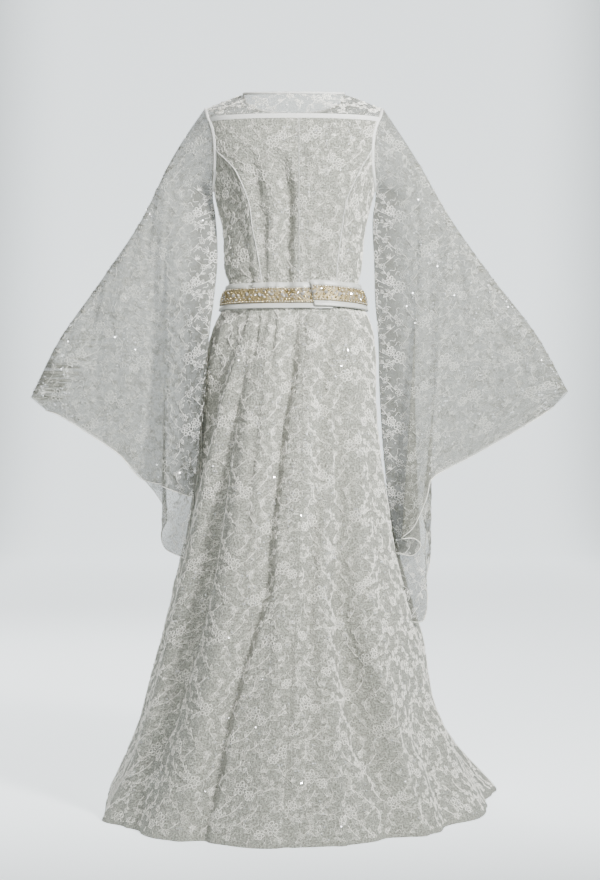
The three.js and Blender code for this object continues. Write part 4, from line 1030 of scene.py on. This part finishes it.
def leaf(lace, x, y, length, turn):
    """A pointed leaf from its stalk: an outline, a midrib and a thin filling."""
    wide = length * 0.24
    shape = [(0, 0), (0.3, wide * 0.85), (0.62, wide), (1, 0), (0.62, -wide), (0.3, -wide * 0.85)]
    outline = [from_point(x, y, share * length, aside, turn) for share, aside in shape]
    patch = lace.faces.new([lace.verts.new((px, py, FILL_HEIGHT)) for px, py in outline])
    patch.material_index = 1
    cord(lace, outline, WIDTH["leaf"], closed=True)
    midrib = [from_point(x, y, share * length, 0, turn) for share in (0.1, 0.8)]
    cord(lace, midrib, WIDTH["midrib"], raised=False)


def vine(lace, points, leaves):
    """A smooth stem through a few given points, with leaves: place on it, side, length."""
    points = np.array(points, float)
    places = np.concatenate([[0], np.linalg.norm(np.diff(points, axis=0), axis=1).cumsum()])
    at = np.linspace(0, places[-1], max(int(places[-1] / 6), 3))
    xs, ys = (along_curve(places, points[:, k], at) for k in (0, 1))
    cord(lace, list(zip(xs, ys)), WIDTH["vine"])
    for share, side, length in leaves:
        k = min(int(share * (len(at) - 1)), len(at) - 2)
        heading = math.atan2(ys[k + 1] - ys[k], xs[k + 1] - xs[k])
        leaf(lace, xs[k], ys[k], length, heading + side * 0.85)


def sprig(lace, x, y, length, turn):
    """A spray of five thin stems, bent a little."""
    for k in range(5):
        way = turn + (k - 2) * 0.42
        reach = length * (1 - 0.08 * abs(k - 2))
        stem = [(x, y), from_point(x, y, reach * 0.55, 0, way), from_point(x, y, reach, 0, way + 0.12)]
        cord(lace, stem, WIDTH["sprig"], raised=False)


# each flower: its middle, its radius and its turn
ROSES = [
    (26, 34, 12.5, 0.2), (45, 47, 10, 0.9), (84, 99, 13, 0.5), (103, 86, 9.5, 0.1)]
SMALL_FLOWERS = [
    (20, 57, 7, 0.3), (76, 25, 7.5, 1.1), (97, 117, 7, 0.6), (27, 104, 8, 0.1), (112, 47, 6.5, 0.8),
    (56, 129, 6.5, 0.4), (61, 76, 6.5, 0.9)]
# each sprig: where it starts, its length and its heading
SPRIGS = [
    (40, 22, 13, -0.6), (70, 108, 13, 2.6), (112, 60, 12, 1.2), (14, 88, 12, 3.4), (92, 8, 12, -1.9),
    (44, 92, 11, 0.6)]
# each vine: its points, then its leaves as place along it, side and length
VINES = [
    ([(50, 56), (56, 64), (60, 70)], [(0.4, 1, 10), (0.7, -1, 10)]),
    ([(66, 80), (74, 84), (78, 88)], [(0.3, -1, 11), (0.6, 1, 10)]),
    ([(38, 30), (52, 22), (68, 24)], [(0.15, -1, 12), (0.4, 1, 12), (0.65, -1, 12), (0.85, 1, 9)]),
    ([(83, 28), (96, 34), (106, 44)], [(0.2, 1, 12), (0.45, -1, 12), (0.75, 1, 11)]),
    ([(18, 64), (8, 76), (10, 92), (20, 100)], [(0.15, 1, 12), (0.35, -1, 12), (0.6, 1, 11),
      (0.8, -1, 10)]),
    ([(34, 109), (44, 118), (50, 125)], [(0.3, 1, 11), (0.6, -1, 11)]),
    ([(62, 132), (72, 140), (86, 138), (92, 124)], [(0.2, -1, 11), (0.45, 1, 12), (0.7, -1, 11)]),
    ([(112, 90), (122, 98), (134, 96), (144, 106)], [(0.2, 1, 12), (0.45, -1, 12), (0.75, 1, 10)]),
    ([(20, 22), (10, 10), (12, -8), (4, -20)], [(0.2, 1, 12), (0.45, -1, 12), (0.7, 1, 11), (0.9, -1, 9)]),
    ([(72, 18), (74, 4), (66, -8)], [(0.3, 1, 11), (0.65, -1, 11)]),
    ([(116, 52), (124, 64), (120, 78)], [(0.3, -1, 11), (0.65, 1, 10)]),
    ([(14, 36), (2, 42), (-6, 54)], [(0.35, 1, 11), (0.7, -1, 10)]),
    ([(52, 40), (66, 46), (80, 56), (92, 74)], [(0.2, 1, 10), (0.4, -1, 12), (0.6, 1, 12), (0.85, -1, 10)]),
    ([(36, 98), (48, 88), (56, 82)], [(0.4, 1, 10)])]


# Thin tendrils that fill the ground between the flowers: where each starts, its heading, and how far it
# curls.
TENDRILS = [
    (6, 6, 0.9, 1), (20, 4, 2.0, -1), (34, 8, 0.4, 1), (52, 6, 1.6, -1), (60, 14, 2.6, 1), (84, 10, 0.6, 1),
    (104, 6, 1.9, -1), (110, 18, 0.2, -1), (6, 24, 1.2, 1), (44, 34, 1.9, 1), (60, 34, 0.5, -1),
    (78, 40, 1.4, 1), (92, 46, 2.9, -1), (104, 36, 2.2, 1), (36, 58, 2.4, -1), (8, 58, 0.5, 1),
    (46, 68, 3.0, 1), (70, 62, 0.3, 1), (78, 70, 1.3, -1), (100, 66, 2.8, 1), (112, 74, 1.7, -1),
    (30, 76, 1.1, 1), (36, 88, 2.9, -1), (60, 92, 0.2, -1), (72, 94, 2.1, 1), (96, 98, 0.9, -1),
    (116, 100, 2.5, 1), (6, 104, 1.3, -1), (40, 106, 0.7, 1), (58, 108, 2.2, -1), (16, 118, 0.3, 1),
    (32, 122, 1.8, -1), (70, 122, 0.8, 1), (82, 128, 2.7, -1), (108, 130, 1.2, 1), (44, 134, 0.4, -1)]


def tendril(lace, x, y, turn, way):
    """A thin S-shaped thread, sixteen millimetres long, that ends in a hook."""
    path = []
    for k in range(7):
        path.append((x, y))
        x, y = from_point(x, y, 2.7, 0, turn)
        turn += way * (0.25 if k < 2 else -0.75)
    cord(lace, path, WIDTH["tendril"], raised=False)


def draw_repeat(mirrored=False):
    """The repeat as a mesh, or its mirror image, which the loom works in every second column."""
    lace = bmesh.new()
    for place in TENDRILS:
        tendril(lace, *place)
    for flower in ROSES:
        rose(lace, *flower)
    for flower in SMALL_FLOWERS:
        small_flower(lace, *flower)
    for place in SPRIGS:
        sprig(lace, *place)
    for points, leaves in VINES:
        vine(lace, points, leaves)
    if mirrored:
        for vert in lace.verts:
            vert.co.x = REPEAT[0] - vert.co.x
    lace.normal_update()
    for face in lace.faces:
        face.smooth = True
        if face.normal.z < 0:
            face.normal_flip()
    drawn = bpy.data.meshes.new("lace_repeat_mirrored" if mirrored else "lace_repeat")
    lace.to_mesh(drawn)
    lace.free()
    return drawn


lace_repeats = [draw_repeat(), draw_repeat(mirrored=True)]
print("one repeat has", len(lace_repeats[0].polygons), "faces")

# %% [markdown]
# ## Laying the lace
# The repeat is copied in rows over a panel's flat pattern, and each point is then looked up: the spot of
# the flat panel under it says where on the worn panel it goes, and its own height lifts it off the cloth.
# Points beyond the panel's edge are cut away, as scissors do.

# %% Laying the lace


def lay_lace(name, panel_name, phase=(0, 0), keep=None, cords=lace_cord, underside=False):
    """The repeat, laid over one panel, or on its inside where that side of the net is seen."""
    panel = pieces[panel_name]
    rows, columns = panel["points"].shape[:2]
    flat = panel["flat"].reshape(-1, 2)
    spots, normals = panel["points"].reshape(-1, 3), panel["normals"].reshape(-1, 3)
    corner = (np.arange(rows - 1)[:, None] * columns + np.arange(columns - 1)[None, :]).reshape(-1)
    triangles = np.concatenate([np.stack([corner, corner + 1, corner + columns + 1], -1),
                                np.stack([corner, corner + columns + 1, corner + columns], -1)])
    lookup = BVHTree.FromPolygons([(x, y, 0) for x, y in flat], triangles.tolist())
    low, high = flat.min(0), flat.max(0)
    laid = bmesh.new()
    bases = [np.array([tuple(vert.co) for vert in repeat.vertices]) for repeat in lace_repeats]
    first = [math.floor((low[k] - phase[k]) / REPEAT[k]) - 1 for k in (0, 1)]
    last = [math.ceil((high[k] - phase[k]) / REPEAT[k]) + 1 for k in (0, 1)]
    placed = []
    for i in range(first[0], last[0]):
        for j in range(first[1], last[1]):
            shift = np.array([phase[0] + i * REPEAT[0], phase[1] + (j + (i % 2) / 2) * REPEAT[1], 0])
            here = bases[i % 2] + shift
            if here[:, 0].max() < low[0] or here[:, 0].min() > high[0]:
                continue
            if here[:, 1].max() < low[1] or here[:, 1].min() > high[1]:
                continue
            laid.from_mesh(lace_repeats[i % 2])
            placed.append(here)
    places = np.concatenate(placed)
    down = Vector((0, 0, -1))
    found = np.full(len(places), -1)
    inside = ((places[:, :2] > low) & (places[:, :2] < high)).all(1)
    for k in np.nonzero(inside)[0]:
        hit = lookup.ray_cast(Vector((places[k, 0], places[k, 1], 1)), down)
        if hit[0] is not None:
            found[k] = hit[2]
    good = found >= 0
    tri = triangles[found[good]]
    a, b, c = (flat[tri[:, k]] for k in (0, 1, 2))
    p = places[good, :2]
    area = (b[:, 0] - a[:, 0]) * (c[:, 1] - a[:, 1]) - (c[:, 0] - a[:, 0]) * (b[:, 1] - a[:, 1])
    area = np.where(np.abs(area) < 1e-9, 1e-9, area)
    worn_edges = (spots[tri[:, k]] - spots[tri[:, 0]] for k in (1, 2))
    worn_area = np.linalg.norm(np.cross(*worn_edges), axis=1)
    even = np.clip(np.abs(area) / np.maximum(worn_area, 1e-9), 0.1, 1) ** 2     # stretched cords lie flat
    second = ((p[:, 0] - a[:, 0]) * (c[:, 1] - a[:, 1]) - (c[:, 0] - a[:, 0]) * (p[:, 1] - a[:, 1])) / area
    third = ((b[:, 0] - a[:, 0]) * (p[:, 1] - a[:, 1]) - (p[:, 0] - a[:, 0]) * (b[:, 1] - a[:, 1])) / area
    weights = np.stack([1 - second - third, second, third], -1)[..., None]
    spot = (spots[tri] * weights).sum(1)
    lean = unit((normals[tri] * weights).sum(1))
    worn = np.zeros((len(places), 3))
    worn[good] = spot + lean * places[good, 2:3] * even[:, None] * (-1 if underside else 1)
    if keep is not None:
        good[np.nonzero(good)[0][~keep(p)]] = False
    beside = np.zeros(len(places))
    if panel["doubled"] is not None:
        beside[found >= 0] = (panel["doubled"].reshape(-1)[tri] * weights[..., 0]).sum(1)
    layer = laid.verts.layers.float.new("doubled")
    laid.verts.ensure_lookup_table()
    for k, vert in enumerate(laid.verts):
        vert.co = worn[k] * MM
        vert[layer] = beside[k]
    bmesh.ops.delete(laid, geom=[laid.verts[k] for k in np.nonzero(~good)[0]], context="VERTS")
    loose = [v for v in laid.verts if not v.link_faces]
    bmesh.ops.delete(laid, geom=loose, context="VERTS")
    if underside:
        bmesh.ops.reverse_faces(laid, faces=laid.faces)
    mesh = bpy.data.meshes.new(name)
    laid.to_mesh(mesh)
    laid.free()
    for material in (cords, lace_filling):
        mesh.materials.append(material)
    piece = bpy.data.objects.new(name, mesh)
    bpy.context.scene.collection.objects.link(piece)
    return piece


HEM_EDGE, TAIL_TOP = 7, -700        # lace stops this far above the hem, and tails show both their sides


def above_hem(places):
    return places[:, 1] > HEM_EDGE


def in_tail(places):
    return places[:, 1] < TAIL_TOP - FLOOR


trims = []
for order, name in enumerate(GORES):
    trims.append(lay_lace("lace_on_" + name, name + "_lace", phase=(17 * order, 9 + 23 * order),
                          keep=above_hem))
for order, name in enumerate(bodice):
    trims.append(lay_lace("lace_on_" + name, name + "_lace", phase=(31 * order + 8, 19 * order)))
for order, name in enumerate(("yoke_back", "yoke_front")):
    trims.append(lay_lace("lace_on_" + name, name + "_lace", phase=(40 * order + 20, 6)))
sleeves = ["sleeve_left_back", "sleeve_left_front", "sleeve_right_back", "sleeve_right_front"]
for order, name in enumerate(sleeves):
    trims.append(lay_lace("lace_on_" + name, name + "_lace", phase=(0, 37 * order), cords=sleeve_cord))
for order in (1, 3):                # the front halves, which turn their inner sides to the back
    trims.append(lay_lace("lace_inside_" + sleeves[order], sleeves[order] + "_lace", phase=(0, 37 * order),
                          keep=in_tail, cords=sleeve_cord, underside=True))
print("lace faces:", sum(len(piece.data.polygons) for piece in trims))

# %% [markdown]
# ## Corded seams
# Neck and armholes are finished with a cord covered in bias tape, and the princess and centre back seams
# stand up as a fine welt. Each is a tube along its seam: a grid, rolled up round the seam's line and welded
# to itself.

# %% Corded seams
CORD_SECTIONS = {"armhole": (6.4, 3.6), "neck": (5.2, 3.6), "hem": (2.6, 1.8), "princess": 2.2,
                 "centre_back": 1.4}
OFF_EDGE = PIPING + 0.5


def tube(name, line, wide, high, lean, sides=10, closed=True, material=tape):
    """A round or flat cord along a line. lean is the direction of its width at each point."""
    line, lean = np.asarray(line, float), np.broadcast_to(np.asarray(lean, float), np.shape(line))
    if closed:
        ahead = unit(np.roll(line, -1, 0) - np.roll(line, 1, 0))
    else:
        ahead = unit(np.gradient(line, axis=0))
    across = unit(lean - ahead * (lean * ahead).sum(-1, keepdims=True))
    rise = np.cross(ahead, across)
    if closed:
        line, across, rise = (np.concatenate([x, x[:1]]) for x in (line, across, rise))
    turn = np.linspace(0, 2 * math.pi, sides + 1)
    points = (line[None] + across[None] * (wide / 2 * np.cos(turn))[:, None, None]
              + rise[None] * (high / 2 * np.sin(turn))[:, None, None])
    sheet = bmesh.new()
    rows, columns = points.shape[:2]
    bmesh.ops.create_grid(sheet, x_segments=columns - 1, y_segments=rows - 1, size=0.5)
    for vert in sheet.verts:
        row, column = round((vert.co.y + 0.5) * (rows - 1)), round((vert.co.x + 0.5) * (columns - 1))
        vert.co = points[row, column] * MM
    bmesh.ops.remove_doubles(sheet, verts=sheet.verts, dist=1e-6)
    if not closed:
        bmesh.ops.holes_fill(sheet, edges=[e for e in sheet.edges if e.is_boundary], sides=0)
    bmesh.ops.recalc_face_normals(sheet, faces=sheet.faces)
    for face in sheet.faces:
        face.smooth = True
    mesh = bpy.data.meshes.new(name)
    sheet.to_mesh(mesh)
    sheet.free()
    piece = bpy.data.objects.new(name, mesh)
    bpy.context.scene.collection.objects.link(piece)
    mesh.materials.append(material)
    return piece


taped = []
for side, hand in ((-1, "left"), (1, "right")):
    share = np.linspace(0, 1, 40)
    halves = []
    for on_back in (True, False):
        edge = armhole_edge(side, on_back, share) + outwards(side, share, 0 * share + OFF_EDGE)
        halves.append(edge + np.array([0, 1.0 if on_back else -1.0, 0]))
    ring = np.concatenate([halves[0][:-1], halves[1][:0:-1]])
    armhole_cord = tube(f"armhole_cord_{hand}_tape", ring, *CORD_SECTIONS["armhole"], (1, 0, 0))
    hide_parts(f"armhole_cord_{hand}")
    taped.append(armhole_cord)
turn = np.linspace(-1, 1, 61)
halves = []
for on_back in (True, False):
    edge = neck_curve(turn, on_back)
    inward = np.stack([-np.sign(turn) * OFF_EDGE * np.abs(turn) ** 6, -np.sign(edge[:, 1]) * OFF_EDGE * 0.25,
                       OFF_EDGE * 0.9 + 0 * turn], -1)
    halves.append(edge + inward)
ring = np.concatenate([halves[0][:-1], halves[1][:0:-1]])
binding = tube("neck_binding_tape", ring, *CORD_SECTIONS["neck"], (0, 0, 1))
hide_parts("neck_binding")

welts = []
# the panel on whose edge each welt stands, the column of that edge, and the seam's name
for name, column, seam in (("bodice_back_left", 0, "princess"), ("bodice_back_right", -1, "princess"),
                           ("bodice_front", 0, "princess"), ("bodice_front", -1, "princess"),
                           ("bodice_back_left", -1, "centre_back")):
    panel = pieces[name + "_lace"]
    line = panel["points"][:, column] + panel["normals"][:, column] * 0.9
    thick = CORD_SECTIONS[seam]
    welts.append(tube(f"seam_welt_{len(welts)}", line, thick, thick * 0.7, panel["normals"][:, column],
                      sides=8, closed=False))
for hand in ("left", "right"):
    for word in ("back", "front"):
        panel = pieces[f"sleeve_{hand}_{word}_lace"]
        welts.append(tube(f"sleeve_hem_{hand}_{word}", panel["points"][0], *CORD_SECTIONS["hem"],
                          panel["normals"][0], sides=6, closed=False, material=lace_cord))
sewn_cords = welts + [binding] + taped
print("corded seams:", len(sewn_cords))

# %% [markdown]
# ## Belt
# A firm band with a satin strip along each edge and beadwork between them. Its outer end laps over the
# other at the back and steps up a little. Band and strips are grids round the waist, one over the other.

# %% Belt
BELT = {"band": 2.4, "border": 1.2, "trim": 2.0, "top_border": 9, "bottom_border": 8, "reveal": 2,
        "lap_rise": 4, "lap_fade": 70, "clear": 2.4, "lap_x": 36}
BELT_COLUMNS = 40
BELT_STEP = 359.5 / BELT_COLUMNS    # degrees
lap_start = math.degrees(float(angle_at(np.array(BELT["lap_x"]), (BELT_TOP + BELT_BOTTOM) / 2, True)))


def belt_point(degrees, share, out):
    """A point of the belt, by its turn from the outer end, share of height and distance off the dress."""
    over = 1 - smooth(degrees / BELT["lap_fade"])
    angle = np.radians(lap_start + degrees)

    def on_dress(z, turn=0.0):
        return shell(angle + turn, np.full(np.shape(angle), z, float))

    low, high = on_dress(BELT_BOTTOM), on_dress(BELT_TOP)
    step = 2e-3
    across = on_dress(WAIST, step) - on_dress(WAIST, -step)
    up = on_dress(WAIST + 1) - on_dress(WAIST - 1)
    normal = unit(np.cross(across, up))
    place = low + (high - low) * np.asarray(share)[..., None]
    place = place + normal * (out + over * (BELT["band"] + 0.7))[..., None]
    return place + np.stack([0 * over, 0 * over, over * BELT["lap_rise"]], -1)


def belt_strip(name, low, high, out, columns, material, thickness, swell):
    """A strip round the waist between two heights. It is thickest in its middle, as padded cloth is."""
    degrees = np.linspace(0, columns * BELT_STEP, columns * 5 + 1)[None, :]
    v = np.linspace(0, 1, 7)[:, None]
    share = ((low + (high - low) * v) - BELT_BOTTOM) / (BELT_TOP - BELT_BOTTOM)
    off = out + thickness - swell + swell * np.sin(math.pi * v) ** 0.6
    points = belt_point(degrees + 0 * v, share + 0 * degrees, off + 0 * degrees)
    return grid_piece(name, points, cloth_lengths(points), material, thickness - swell + 0.1)


# Duchess satin is woven of filament yarn with long floats on its face, so its gloss is soft and streaky.
satin, tree, shader = new_material("duchess_satin", Roughness=0.34, Sheen_Weight=0.3, Specular_IOR_Level=0.55)
flat = add_node(tree, "ShaderNodeUVMap", {"uv_map": "cloth"})
stretch = add_node(tree, "ShaderNodeMapping", Vector=flat.outputs["UV"],
                   Scale=(*[per_metre(size) for size in GRAIN["satin_floats"]], 1))
floats = add_node(tree, "ShaderNodeTexNoise", Vector=stretch.outputs["Vector"], Scale=1.0, Detail=3.0)
tone = add_node(tree, "ShaderNodeMix", {"data_type": "RGBA"}, _0=floats.outputs["Fac"],
                _6=hex_colour("b4b5ae"), _7=hex_colour("cccdc7"))
tree.links.new(tone.outputs[2], shader.inputs["Base Color"])
bump = add_node(tree, "ShaderNodeBump", Strength=0.25, Distance=0.0006, Height=floats.outputs["Fac"])
tree.links.new(bump.outputs["Normal"], shader.inputs["Normal"])

# The beads are sewn on net of metallised yarn, which glitters dimly between them.
ground, tree, shader = new_material("gold_net_ground", Roughness=0.5, Metallic=0.35)
flat_map, threads = net_pattern(tree, GRAIN["gold_net"], 0.2)
tone = add_node(tree, "ShaderNodeMix", {"data_type": "RGBA"}, _0=threads, _6=hex_colour("6c6042"),
                _7=hex_colour("c4b488"))
tree.links.new(tone.outputs[2], shader.inputs["Base Color"])

belt_out = BELT["clear"] + BELT["band"] + 0.6
edge_low, edge_high = BELT_BOTTOM + BELT["bottom_border"], BELT_TOP - BELT["top_border"]
strip_low, strip_high = edge_low + BELT["reveal"], edge_high - BELT["reveal"]
# each strip: its lower and upper edge, distance off the dress, columns, material, thickness and swell
belt_parts = {
    "belt_band": (BELT_BOTTOM, BELT_TOP, BELT["clear"], BELT_COLUMNS + 2, satin, BELT["band"], 0.1),
    "belt_edge_top": (edge_high, BELT_TOP, belt_out, BELT_COLUMNS, satin, BELT["border"], 0.6),
    "belt_edge_bottom": (BELT_BOTTOM, edge_low, belt_out, BELT_COLUMNS, satin, BELT["border"], 0.6),
    "belt_beaded_strip": (strip_low, strip_high, belt_out, BELT_COLUMNS, ground, BELT["trim"], 0.9)}
for name, (low, high, out, columns, material, thickness, swell) in belt_parts.items():
    strip = belt_strip(name + "_sewn", low, high, out, columns, material, thickness, swell)
    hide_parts(name)
print("belt laps at", round(lap_start), "degrees from the centre back")

# %% [markdown]
# ## Beadwork
# Gold beads, pearls and cut stones are sewn close together, with an even row of small beads along either
# edge. Each is a small ball or a flattened stone, turned at random so that they sparkle one by one.

# %% Beadwork
# Gold beads are plated glass, stones are cut glass with foil behind, and pearls are glass with a pearly
# lacquer. The first mirrors, the second flashes from its facets, and the third glows softly under a gloss.
# Each bead's tone lies between the two given, because its plating or foil differs from the next one's.
BEADS = {"gold_plated_bead": ("84703f", "f2e2b0", {"Metallic": 1.0, "Roughness": 0.22}),
         "cut_glass_stone": ("7d7454", "ffffff", {"Metallic": 0.55, "Roughness": 0.08}),
         "pearl_bead": ("a89f88", "f7f2e6", {"Roughness": 0.18, "Coat_Weight": 0.6})}
bead_materials = []
for name, (low, high, finish) in BEADS.items():
    material, tree, shader = new_material(name, **finish)
    place = add_node(tree, "ShaderNodeTexCoord")
    change = add_node(tree, "ShaderNodeTexNoise", Vector=place.outputs["Object"],
                      Scale=per_metre(GRAIN["bead"]))
    tone = add_node(tree, "ShaderNodeMix", {"data_type": "RGBA"}, _0=change.outputs["Fac"],
                    _6=hex_colour(low), _7=hex_colour(high))
    tree.links.new(tone.outputs[2], shader.inputs["Base Color"])
    bead_materials.append(material)
GOLD, STONE, PEARL = range(3)       # places in that list
TILT = 2.2                          # how upright a bead sits, against sideways parts of up to 1
luck = random.Random(11)


def scatter(name, spots, materials):
    """Small stones and beads at the given spots: place, normal, radius, kind and flatness."""
    beads = bmesh.new()
    for place, normal, radius, kind, flat_share in spots:
        made = bmesh.ops.create_icosphere(beads, subdivisions=1, radius=radius)
        turn = Vector(normal).to_track_quat("Z", "Y").to_matrix().to_4x4()
        tilt = Vector((luck.uniform(-1, 1), luck.uniform(-1, 1), TILT)).to_track_quat("Z", "Y")
        bmesh.ops.scale(beads, vec=(1, 1, flat_share), verts=made["verts"])
        bmesh.ops.transform(beads, matrix=turn @ tilt.to_matrix().to_4x4(), verts=made["verts"])
        bmesh.ops.translate(beads, vec=Vector(place), verts=made["verts"])
        for face in {f for v in made["verts"] for f in v.link_faces}:
            face.material_index = kind
            face.smooth = kind != STONE         # a stone keeps its facets
    bmesh.ops.scale(beads, vec=(MM, MM, MM), verts=beads.verts)
    mesh = bpy.data.meshes.new(name)
    beads.to_mesh(mesh)
    beads.free()
    for material in materials:
        mesh.materials.append(material)
    piece = bpy.data.objects.new(name, mesh)
    bpy.context.scene.collection.objects.link(piece)
    return piece


strip = pieces["belt_beaded_strip_sewn"]
strip_rows, strip_columns = strip["points"].shape[:2]


def on_strip(across, up):
    """A spot on the beaded strip, by shares of its length and its height."""
    i, j = up * (strip_rows - 1), across * (strip_columns - 1)
    a, b = min(int(i), strip_rows - 2), min(int(j), strip_columns - 2)
    s, t = i - a, j - b

    def mix(grid):
        lower = (1 - t) * grid[a, b] + t * grid[a, b + 1]
        upper = (1 - t) * grid[a + 1, b] + t * grid[a + 1, b + 1]
        return (1 - s) * lower + s * upper

    return mix(strip["points"]), mix(strip["normals"])


EDGE_BEADS = 262                    # along each edge, gold and pearl by turns
EDGE_ROWS = (0.06, 0.94)            # shares of the strip's height
MIDDLE_ROWS = (0.22, 0.36, 0.5, 0.64, 0.78)
EDGE_BEAD, SMALLEST, LARGEST, BIG_STONE = 1.5, 1.5, 2.9, 4.2        # radii
KINDS, OFTEN = (GOLD, STONE, PEARL), (6, 4, 2)
spots = []
for k in range(EDGE_BEADS):
    for up in EDGE_ROWS:
        place, normal = on_strip((k + 0.5) / EDGE_BEADS, up)
        spots.append((place + normal * 0.9, normal, EDGE_BEAD, GOLD if k % 2 else PEARL, 1))
clusters = EDGE_BEADS // 3
for k in range(clusters):
    for row, up in enumerate(MIDDLE_ROWS):
        shift = (row % 2) * 0.5
        across = ((k + shift + luck.uniform(0.2, 0.5)) / clusters) % 1
        place, normal = on_strip(min(max(across, 0.002), 0.998), up + luck.uniform(-0.04, 0.04))
        kind = luck.choices(KINDS, OFTEN)[0]
        if row == len(MIDDLE_ROWS) // 2 and k % 3 == 0:
            spots.append((place + normal * 1.2, normal, BIG_STONE, STONE, 0.5))
        else:
            size = luck.uniform(SMALLEST, LARGEST)
            spots.append((place + normal * size * 0.5, normal, size, kind, 0.75))
beadwork = scatter("belt_beadwork", spots, bead_materials)
trims.append(beadwork)
print("beads and stones:", len(spots))

# %% [markdown]
# ## Sequins
# Flat round sequins, a few to each flower, catch the light here and there. Each is a small disc, tilted at
# random.

# %% Sequins
# A sequin is punched from polyester film with a thin vapour coat, so it flashes when it faces a lamp.
sequin, tree, shader = new_material("white_sequin", Metallic=0.35, Roughness=0.12)
place = add_node(tree, "ShaderNodeTexCoord")
change = add_node(tree, "ShaderNodeTexNoise", Vector=place.outputs["Object"],
                  Scale=per_metre(GRAIN["sequin"]))
tone = add_node(tree, "ShaderNodeMix", {"data_type": "RGBA"}, _0=change.outputs["Fac"],
                _6=hex_colour("e8ecec"), _7=hex_colour("ffffff"))
tree.links.new(tone.outputs[2], shader.inputs["Base Color"])

SEQUIN = {"radius": 1.7, "lift": 1.5, "tilt": 0.35, "area": 3600}     # area: square millimetres a group
discs = bmesh.new()
sewn = 0
for name, panel in pieces.items():
    if "belt" in name or "edge" in name:
        continue
    rows, columns = panel["points"].shape[:2]
    size = np.ptp(panel["flat"][..., 0]) * np.ptp(panel["flat"][..., 1])
    for _ in range(int(size / SEQUIN["area"])):
        i, j = luck.randrange(1, rows - 1), luck.randrange(1, columns - 1)
        for _ in range(luck.choice((1, 1, 2, 3))):
            a = min(max(i + luck.randint(-2, 2), 0), rows - 1)
            b = min(max(j + luck.randint(-2, 2), 0), columns - 1)
            spot = panel["points"][a, b] + panel["normals"][a, b] * SEQUIN["lift"]
            made = bmesh.ops.create_circle(discs, cap_ends=True, segments=7, radius=SEQUIN["radius"])
            sideways = Vector([luck.uniform(-1, 1) for _ in range(3)])
            lean = Vector(panel["normals"][a, b]) + SEQUIN["tilt"] * sideways
            turn = lean.to_track_quat("Z", "Y").to_matrix().to_4x4()
            bmesh.ops.transform(discs, matrix=turn, verts=made["verts"])
            bmesh.ops.translate(discs, vec=Vector(spot), verts=made["verts"])
            sewn += 1
bmesh.ops.scale(discs, vec=(MM, MM, MM), verts=discs.verts)
disc_mesh = bpy.data.meshes.new("sequins")
discs.to_mesh(disc_mesh)
discs.free()
disc_mesh.materials.append(sequin)
sequins = bpy.data.objects.new("sequins", disc_mesh)
bpy.context.scene.collection.objects.link(sequins)
trims.append(sequins)
print("sequins:", sewn)

# %% [markdown]
# ## Riding
# Every piece rides on the dress's one body.

# %% Riding
for item in [panel["object"] for panel in pieces.values()]:
    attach(item, "root")
for item in trims + sewn_cords:
    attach(item, "root")
slots = {"sleeve": "sheer_lace", "yoke": "sheer_lace", "bodice": "lined_lace", "skirt": "lined_lace",
         "lining": "seam_tape", "belt_beaded": "beadwork", "belt": "satin"}
for name, panel in pieces.items():
    word = next(key for key in slots if name.startswith(key))


for name, panel in pieces.items():
    flat = panel["flat"]
